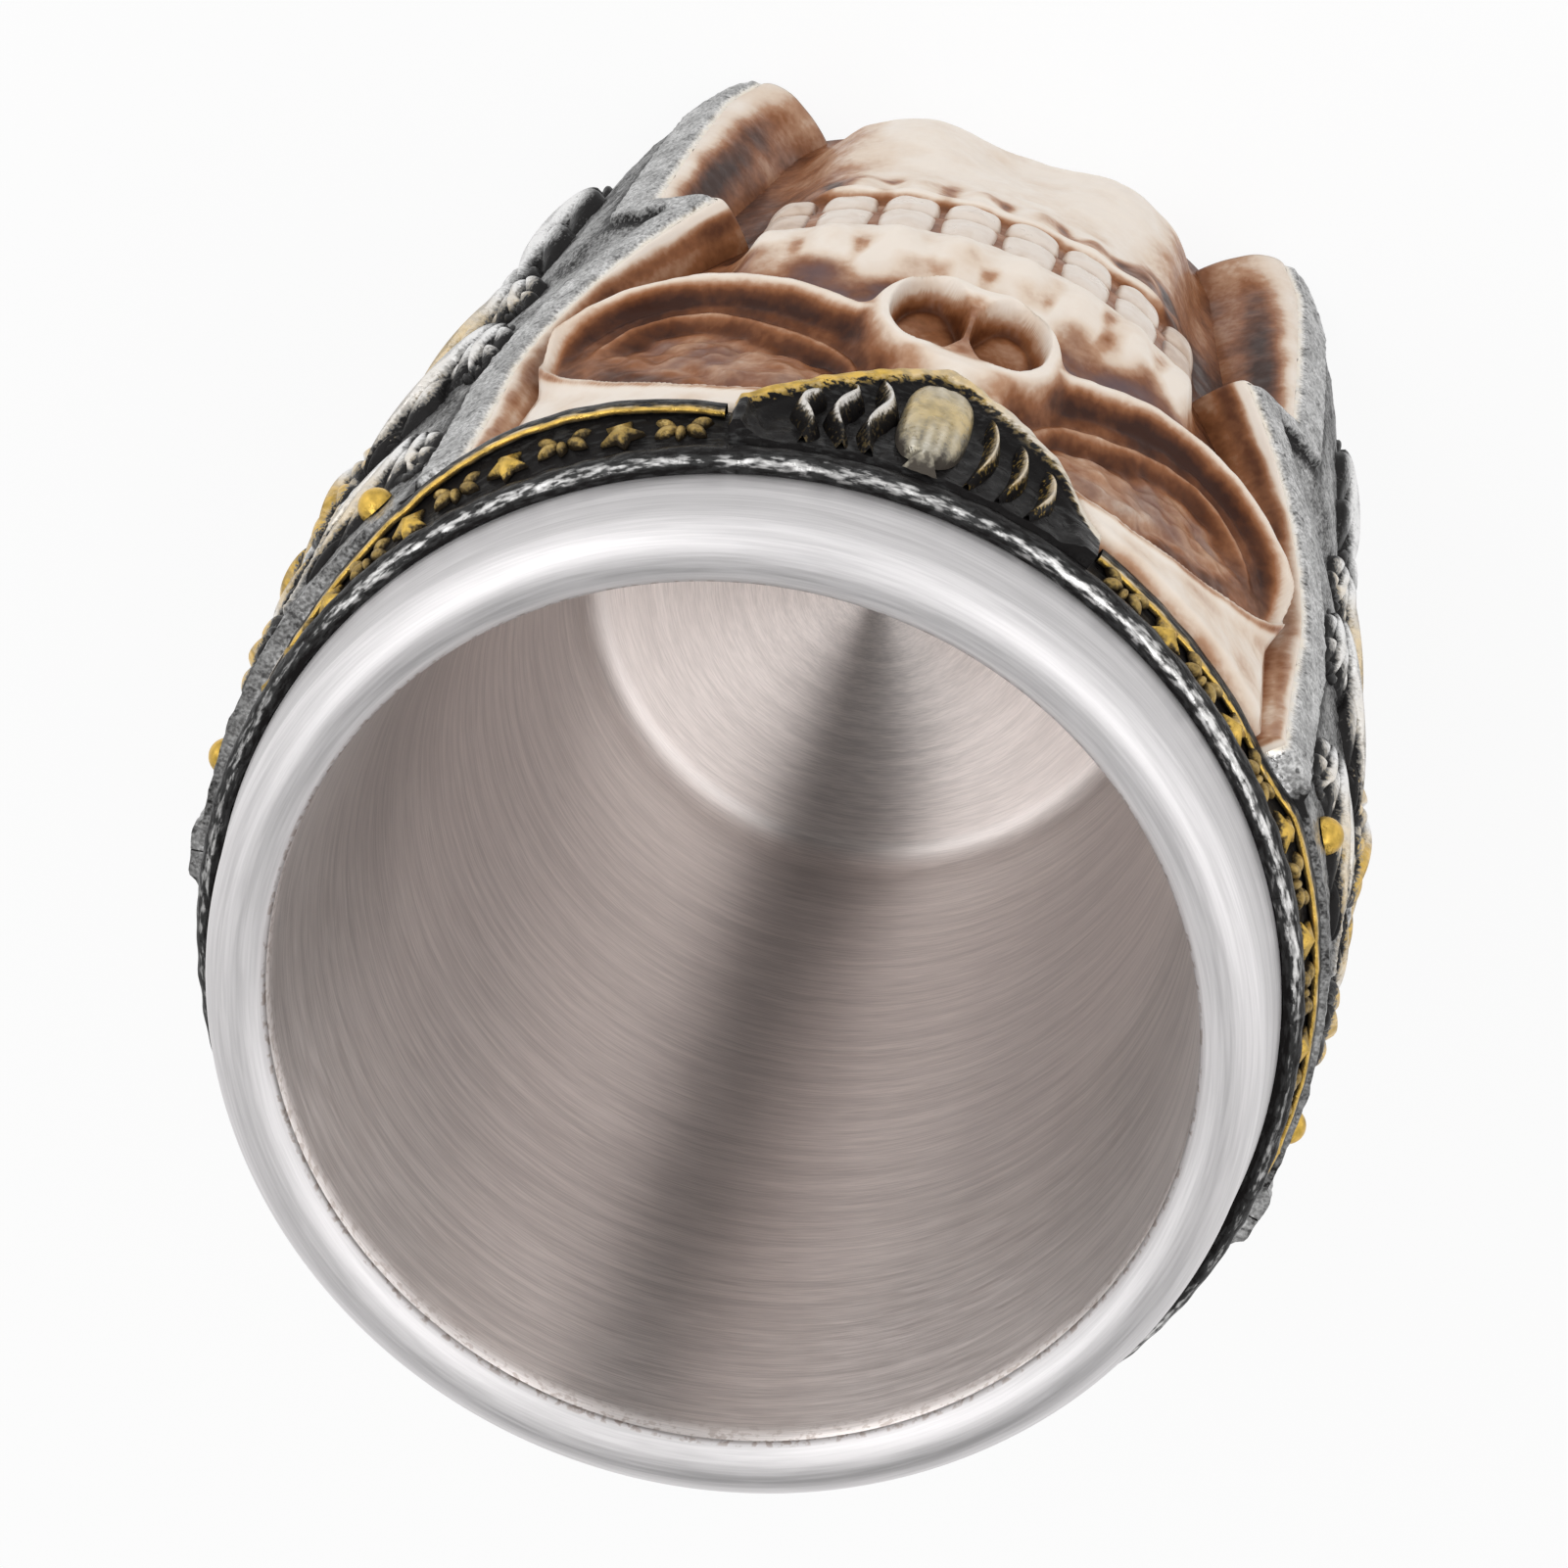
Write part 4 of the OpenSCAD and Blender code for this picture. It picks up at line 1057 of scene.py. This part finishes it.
def nape():
    """The back plate of the helmet with its keel, tendrils and leaves."""
    t = np.linspace(GUARD_BACK + SEAM, 360 - GUARD_BACK - SEAM, 300)[:, None]
    z = np.linspace(GUARD_LIFT, GUARD_TOP, 210)[None, :]
    from_keel, from_edge = nape_place(t)
    s = from_keel * SKIN
    twigs = [scroll(root, share, reach, 3, 3.4)
             for root, reach in ((2.5, 8), (NAPE_STEM, 7)) for share in NAPE_SCROLLS]
    waist = (NAPE_STEM - 3, guard_height(0.5))
    twigs.append(bow_path((NAPE_STEM, GUARD_LIFT + 2), waist, (NAPE_STEM, GUARD_TOP - 2)))
    lines = tendrils(s, z, twigs) * smooth(3.4, 4.6, from_edge)
    border = np.maximum(smooth(3.2, 2.4, from_edge), smooth(KEEL_HALF + 1, KEEL_HALF, from_keel))
    beads = 0.35 * bell(from_keel, 1.6) * (0.5 + 0.5 * np.cos(2 * math.pi * z / BEAD_PITCH))
    r = nape_face(t, z) + lines + beads + 0.06 * ripple(s, z, 2.6, 1.1)
    places = [(NAPE_LEAF_TURN, share, NAPE_LEAF_LENGTH) for share in NAPE_LEAF_SHARES]
    field = plate_tone(s, z, 0.40, places, lines)
    relief = np.clip(mix(field, 0.5, border) + lines + beads, 0, 1)
    plate = helmet_skin(t, r, z, relief=relief, gold=0.9 * smooth(0.1, 0.3, beads))
    plate.build("nape_plate", SILVER, "silver_resin", "nape_guard")
    leaves = Shape()
    for side in (-1, 1):
        for share in NAPE_LEAF_SHARES:
            spray(leaves, 180 + side * NAPE_LEAF_TURN, guard_height(share), 90 + side * 30,
                  NAPE_LEAF_LENGTH, NAPE_LEAF_WIDTH, -side * 2, nape_face, NAPE_LEAF_RISE, 0.5)
    leaves.build("nape_leaf_reliefs", SILVER, "bright_silver_resin", "nape_leaves")


def studs():
    """Gold round studs on the guards."""
    shape = Shape()
    a = np.radians(np.linspace(0, 90, 9))[None, :]
    turn = np.radians(np.linspace(0, 360, 24, endpoint=False))[:, None]
    across = STUD_R * np.cos(a) * np.cos(turn)
    up = STUD_R * np.cos(a) * np.sin(turn)
    for side in (-1, 1):
        for t, share in STUDS:
            z = guard_height(share)
            r = guard_face(t, z) + 0.05 + STUD_R * np.sin(a)
            points = polar(side * (t + across / SKIN), r, z + up)
            shape.add_grid(points, ring=True, relief=0.55 + 0.4 * np.sin(a), gold=1.0)
    shape.build("gold_studs", GOLD, "gold_paint", "guard_studs")


cheek_guards()
nape()
studs()


# Head band

RING_R = SLEEVE_R + 0.05
CHANNEL_R = SLEEVE_R + CHANNEL_T
SHELF_Z = mix(BAND_Z, EDGE_TOP, 0.6)


def collar():
    """The dark bead round the steel, uneven and rubbed bright along its top."""
    a = np.radians(np.linspace(-100, 115, 26))
    half = (COLLAR_TOP - COLLAR_Z) / 2
    round_r = 0.62 * (COLLAR_R - SLEEVE_R)
    profile = [(RING_R, COLLAR_Z)]
    profile += list(zip(COLLAR_R - round_r + round_r * np.cos(a), COLLAR_Z + half + half * np.sin(a)))
    profile.append((RING_R, COLLAR_TOP - 0.15))
    points = lathe(profile, 512)
    turn = np.degrees(np.arctan2(points[..., 0], -points[..., 1]))
    uneven = 0.07 * ripple(turn * SKIN, points[..., 2], 3.1, 1.4)
    points[..., :2] *= 1 + uneven[..., None] / COLLAR_R
    worn = np.concatenate([[0.0], 0.12 + 0.46 * bell(a - 1.2, 0.55), [0.2]])
    rubbed = worn * (1 + 0.35 * bell(turn + 25, 40))
    grid_piece("collar_bead", BLACK, "black_resin", ["collar_ring"], points, ring=True, relief=rubbed,
               gold=0.0)


def band_wide(t):
    """How much further out the band's lower edge lies: out on the left of the face and in elsewhere."""
    turn = (t + 180) % 360 - 180
    return 2.5 * bell(turn - 38, 22) - 1.3 + 1.0 * smooth(-48, -54, turn)


def channel():
    """The sloping channel that carries the stars."""
    f = np.linspace(0, 1, 12)
    slope_r = mix(SHELF_R, CHANNEL_R, f) - 0.25 * np.sin(math.pi * f)
    slope = list(zip(slope_r, mix(SHELF_Z, COLLAR_Z, f), 1 - f))
    r, z, reach = np.array([(RING_R, BAND_Z, 0), (SHELF_R, BAND_Z, 1)] + slope).T
    t = np.linspace(0, 360, 384, endpoint=False)[:, None]
    points = polar(t, r + reach * band_wide(t), z)
    grid_piece("band_channel", BLACK, "black_resin", ["head_band"], points, ring=True, relief=0.1, gold=0.0)


def gold_edge():
    """The fillet along the band's lower edge: grey outside, with a gold crest."""
    start = BROW_TURN + 1
    t = np.linspace(start, 360 - start, 480)[:, None]
    crest_r = mix(SHELF_R, EDGE_R, 0.45)
    # Radius, height, wear and gilding round the fillet's outline
    outline = [(SHELF_R - 0.1, BAND_Z + 0.02, 0.05, 0), (EDGE_R - 0.05, BAND_Z + 0.02, 0.15, 0),
               (EDGE_R, BAND_Z + 0.3, 0.25, 0), (EDGE_R, SHELF_Z - 0.2, 0.25, 0),
               (EDGE_R - 0.12, SHELF_Z + 0.25, 0.3, 0.1), (crest_r + 0.22, EDGE_TOP - 0.12, 0.8, 0.9),
               (crest_r + 0.08, EDGE_TOP, 1, 1), (crest_r - 0.12, EDGE_TOP - 0.02, 0.8, 0.9),
               (SHELF_R, EDGE_TOP - 0.3, 0.2, 0.1), (SHELF_R - 0.1, SHELF_Z, 0.05, 0)]
    r, z, worn, gilt = np.array(outline).T
    wave = 0.05 * ripple(t * SKIN, 0, 4.0, 1.2)
    points = polar(t, r + wave + band_wide(t), z)
    grid_piece("band_fillet", BLACK, "gold_paint", ["band_edge"], points, relief=worn, gold=gilt)


STAR_COUNT = 30
STAR_POINTS = 5
STAR_R = 1.9
STARS_FROM = BROW_TURN + 4
SLOPE = math.atan2(SHELF_R - CHANNEL_R, COLLAR_Z - SHELF_Z)


def on_slope(t0, x, y, out):
    """Points on the channel's slope, from places across, up and out of its middle at a turn."""
    r = (CHANNEL_R + SHELF_R) / 2 + 0.5 * band_wide(t0) - 0.15
    r = r - y * math.sin(SLOPE) + out * math.cos(SLOPE)
    height = (SHELF_Z + COLLAR_Z) / 2 + y * math.cos(SLOPE) + out * math.sin(SLOPE)
    return polar(t0 + np.degrees(x / CHANNEL_R), r, height)


def star(shape, t0, lean, gilt):
    """Adds one star: corners at its foot, corners on its edge and a raised middle."""
    corners = 2 * STAR_POINTS
    k = np.arange(corners)
    outer = k % 2 == 0
    tip = np.where(outer, STAR_R, 0.5 * STAR_R)
    a = 2 * math.pi * k / corners + lean
    x = np.concatenate([tip * np.sin(a), 0.9 * tip * np.sin(a), [0]])
    y = np.concatenate([tip * np.cos(a), 0.9 * tip * np.cos(a), [0]])
    out = np.concatenate([np.full(corners, -0.1), np.where(outer, 0.3, 0.45), [1.1]])
    worn = np.concatenate([np.full(corners, 0.02), np.full(corners, 0.35), [1.0]])
    pairs = [(n, (n + 1) % corners) for n in range(corners)]
    sides = [(n, m, corners + m, corners + n) for n, m in pairs]
    tops = [(corners + n, corners + m, 2 * corners) for n, m in pairs]
    shape.add(on_slope(t0, x, y, out), sides + tops, relief=worn * mix(0.6, 1, gilt), gold=gilt)


def spray_leaf(shape, t0, x0, y0, heading, length):
    """Adds one small pointed leaf of a spray."""
    u, v = strip(12, 9)
    along = length * u
    across = 0.26 * length * np.sin(math.pi * mix(0.06, 1.0, u)) ** 0.7 * v
    dome = np.clip(1 - v * v, 0, 1) ** 0.5 * np.sin(math.pi * u) ** 0.5
    x = x0 + along * math.sin(heading) + across * math.cos(heading)
    y = y0 + along * math.cos(heading) - across * math.sin(heading)
    shape.add_grid(on_slope(t0, x, y, 0.75 * dome - 0.1), relief=0.02 + 0.5 * dome, gold=0.3)


def stars():
    """Stars on the channel's slope, with a spray of small leaves between neighbours."""
    shape = Shape()
    for i in range(STAR_COUNT):
        t0 = 360 / STAR_COUNT * (i + 0.5)
        between = t0 + 180 / STAR_COUNT
        if STARS_FROM < t0 < 360 - STARS_FROM:
            star(shape, t0, 0.3 * math.sin(5.1 * i), 0.9 - 0.7 * bell(t0 - 24, 9))
        if STARS_FROM < between < 360 - STARS_FROM:
            for heading, length in ((-1.9, 1.9), (-0.9, 2.2), (0.1, 1.7), (1.0, 2.2), (2.0, 1.9)):
                spray_leaf(shape, between, 0.25 * heading, -0.7, heading, length)
    shape.build("band_star_reliefs", GOLD, "gold_paint", "band_stars")


BROW_BORDER = 0.75
BROW_HOLLOW = 0.7


def brow_plate():
    """The plate over the forehead, with a raised gilded border."""
    t = np.linspace(-BROW_TURN, BROW_TURN, 170)[:, None]
    f = np.linspace(0, 1, 70)[None, :]
    low = brow_low(t)
    z = mix(low, COLLAR_Z, f)
    s = t * SKIN
    from_low = (z - low) * 0.85
    from_end = (BROW_TURN - np.abs(t)) * SKIN
    lip = smooth(1.7, 1.1, from_low)
    border = np.maximum(lip, smooth(1.5, 0.9, from_end))
    rounded = 0.5 * (smooth(0.5, 0, from_low) + smooth(0.4, 0, from_end))
    hollow = BROW_HOLLOW * smooth(1.6, 3.4, from_low) * smooth(1.4, 3.0, from_end)
    r = brow_face(z) + BROW_BORDER * border - rounded - hollow + 0.07 * ripple(s, z, 2.3, 0.4)
    r = mix(r, np.minimum(r, SHELF_R + 0.3), smooth(0.6 * BROW_TURN, BROW_TURN, -t))
    relief = 0.06 + 0.9 * smooth(1.3, 0.9, from_low) + 0.5 * lip + 0.1 * border
    gold = lip * np.clip(0.7 + 0.4 * np.sign(t) * smooth(2, 8, np.abs(t)), 0, 1)
    back_r = BROW_SEAT_R - 0.2
    top = polar(t, CHANNEL_R - 0.2, COLLAR_Z)
    grid = np.concatenate([polar(t, back_r, low), polar(t, r, z), top], 1)
    ends = np.pad(polar(t[[0, -1]], back_r, z[[0, -1]]), [(0, 0), (1, 1), (0, 0)], mode="edge")
    grid = np.concatenate([ends[:1], grid, ends[1:]], 0)
    relief = np.pad(np.clip(relief, 0, 1), 1, mode="edge")
    grid_piece("brow_plate_skin", BLACK, "black_resin", ["brow_plate"], grid, relief=relief,
               gold=np.pad(gold, 1, mode="edge"))


BOSS_W = 5.8
BOSS_H = 14.0
BOSS_Z = COLLAR_Z + 0.4 - BOSS_H / 2


def brow_boss():
    """The oval boss, which narrows to a neck below the collar."""
    u, v = strip(60, 41)
    oval = np.clip(1 - np.abs(u / 0.45 - 1) ** 2.8, 0, 1) ** (1 / 2.8)
    neck = 0.22 * smooth(0.70, 0.84, u) + 0.3 * smooth(0.92, 1.0, u)
    half = BOSS_W / 2 * np.maximum(oval, neck)
    z = BOSS_Z + BOSS_H * (u - 0.5)
    t = half * v / SKIN
    crown = np.clip(1 - v ** 4, 0, 1) ** 0.5
    dome = crown * np.maximum(1.4 * oval, 1.1 * smooth(0.60, 0.72, u) * smooth(1.0, 0.95, u))
    brush = ripple(half * v, z * 0.08, 0.9, 1.6)
    relief = np.clip(0.10 + 0.42 * dome + 0.2 * brush, 0, 1)
    points = polar(t, brow_face(z) - 0.6 + 1.2 * dome + 0.04 * brush, z)
    grid_piece("brow_boss_dome", SILVER_GOLD, "pale_gold_paint", ["brow_boss"], points, relief=relief,
               gold=0.9 * bell(u - 0.45, 0.3))


RIB_COUNT = 3
RIB_PITCH = 3.3


def brow_ribs():
    """Ribs on both sides of the boss: wavy ones on the left and thin crescents on the right."""
    shape = Shape()
    u, v = strip(60, 15)
    taper = np.sin(math.pi * mix(0.06, 0.94, u)) ** 0.5
    dome = (1 - np.abs(v)) ** 0.8 * np.sin(math.pi * mix(0.02, 0.98, u)) ** 0.4
    worn = np.clip(0.04 + 0.95 * smooth(0.45, 0.9, dome), 0, 1)
    for side, wide, tall, gilt in ((-1, 0.75, 1.6, 0.45), (1, 1.0, 2.1, 0.1)):
        for i in range(1, RIB_COUNT + 1):
            t0 = side * (BOSS_W / 2 / SKIN + RIB_PITCH * (i - 0.45))
            z = mix(brow_low(t0) + 1.6, COLLAR_Z, 0.98 * u)
            wavy = 0.55 * np.sin(2 * math.pi * 1.3 * u + 1.4 * i)
            crescent = 0.5 - 1.1 * np.sin(math.pi * u)
            t = t0 + ((wavy if side > 0 else crescent) + wide * taper * v) / SKIN
            shape.add_grid(polar(t, brow_face(z) - 0.8 + tall * dome, z), relief=worn, gold=gilt)
    shape.build("brow_rib_reliefs", BLACK, "silver_resin", "brow_ribs")


collar()
channel()
gold_edge()
stars()
brow_plate()
brow_boss()
brow_ribs()


# CAD nodes that stay in view

for name in ("skull_body", "skull_back", "liner_bond"):
    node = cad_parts[name]
    node.data.materials.clear()
    node.data.materials.append(BONE)


# Floor, light and camera

def pale_floor():
    """A large pale floor that looks white to the camera and to metal, and keeps a soft shadow."""
    half = 3000
    mesh = bpy.data.meshes.new("floor")
    corners = [(-half, -half), (half, -half), (half, half), (-half, half)]
    mesh.from_pydata([(x * MM, y * MM, -0.05 * MM) for x, y in corners], [], [(0, 1, 2, 3)])
    p = Paint("floor")
    tint = p.blend(p.noise(900.0, 2.0), (0.80, 0.80, 0.80), (0.84, 0.84, 0.84))
    plain = p.node("BsdfDiffuse", {"Color": tint}).outputs[0]
    white = p.node("Emission", {"Color": (1, 1, 1, 1), "Strength": 1.0}).outputs[0]
    rays = p.node("LightPath").outputs
    seen = p.math("MAXIMUM", rays["Is Camera Ray"], rays["Is Glossy Ray"])
    seen = p.math("MULTIPLY", p.math("MAXIMUM", seen, rays["Is Transmission Ray"]), 0.9)
    mixed = p.node("MixShader", {0: seen, 1: plain, 2: white}).outputs[0]
    p.node("OutputMaterial", {"Surface": mixed})
    mesh.materials.append(p.owner)
    floor = bpy.data.objects.new("floor", mesh)
    bpy.context.scene.collection.objects.link(floor)


# The gap between the soft boxes points this way, and its reflection shades the steel
CARD_WAY = (0.24, -0.97, 0.0)
LAMP_AIM = (0, 0, 70)


def studio_world():
    """A white backdrop all round, under a dim ceiling that is darkest along the gap of the soft boxes."""
    world = bpy.data.worlds.new("studio")
    bpy.context.scene.world = world
    n = Nodes(world)
    way = n.node("TexCoord").outputs["Generated"]
    up = n.node("SeparateXYZ", {0: way}).outputs[2]
    flat = n.node("VectorMath", {0: way, 1: (1, 1, 0)}, operation="MULTIPLY").outputs[0]
    flat = n.node("VectorMath", {0: flat}, operation="NORMALIZE").outputs[0]
    along = n.node("VectorMath", {0: flat, 1: CARD_WAY}, operation="DOT_PRODUCT").outputs["Value"]
    gap = n.range(n.math("ABSOLUTE", along), 0.82, 0.94)
    ceiling = n.blend(gap, (0.55, 0.55, 0.55), (0.04, 0.04, 0.04))
    colour = n.blend(n.range(up, 0.25, 0.5), (1.0, 1.0, 1.0), ceiling)
    back = n.node("Background", {"Color": colour, "Strength": 1.0}).outputs[0]
    n.node("OutputWorld", {"Surface": back})


def lamp(name, place, wide, long, power):
    """A soft box that looks at the middle of the mug, with its length along the gap."""
    light = bpy.data.lights.new(name, "AREA")
    light.shape = "RECTANGLE"
    light.size = wide * MM
    light.size_y = long * MM
    light.energy = power
    made = bpy.data.objects.new(name, light)
    made.location = Vector(place) * MM
    ahead = (Vector(LAMP_AIM) * MM - made.location).normalized()
    side = ahead.cross(Vector(CARD_WAY)).normalized()
    made.rotation_euler = Matrix((side, side.cross(ahead), -ahead)).transposed().to_euler()
    bpy.context.scene.collection.objects.link(made)


def overhead(side, along, height):
    """A place beside the gap of the soft boxes, along it and up."""
    return (along * CARD_WAY[0] - side * CARD_WAY[1], along * CARD_WAY[1] + side * CARD_WAY[0], height)


# The camera, fitted to the lip and to the cup's floor in the photograph
CAMERA_AT = (0.0, -132.76, 386.86)
CAMERA_RIGHT = (-0.9446, -0.3008, -0.1316)
CAMERA_DOWN = (-0.3283, 0.8732, 0.3602)
CAMERA_AHEAD = (0.0066, 0.3835, -0.9235)
PHOTO_FOCAL_PX = 4000
PHOTO_WIDTH_PX = 1601
SENSOR = 36.0


def camera():
    """The photograph's viewpoint."""
    data = bpy.data.cameras.new("camera")
    data.sensor_width = SENSOR
    data.lens = SENSOR * PHOTO_FOCAL_PX / PHOTO_WIDTH_PX
    data.clip_start = 0.01
    made = bpy.data.objects.new("camera", data)
    axes = Matrix((CAMERA_RIGHT, [-v for v in CAMERA_DOWN], [-v for v in CAMERA_AHEAD])).transposed()
    made.matrix_world = Matrix.Translation(Vector(CAMERA_AT) * MM) @ axes.to_4x4()
    bpy.context.scene.collection.objects.link(made)
    bpy.context.scene.camera = made


pale_floor()
studio_world()
lamp("box_left", overhead(275, 150, 700), 250, 900, 1.55)
lamp("box_right", overhead(-255, 150, 700), 250, 900, 1.55)
lamp("key_light", (620, -300, 420), 600, 600, 0.85)
lamp("fill_light", (-640, -300, 400), 600, 600, 0.6)
lamp("front_light", (80, -680, 330), 600, 500, 0.5)
camera()

bpy.context.scene.view_settings.view_transform = "Standard"
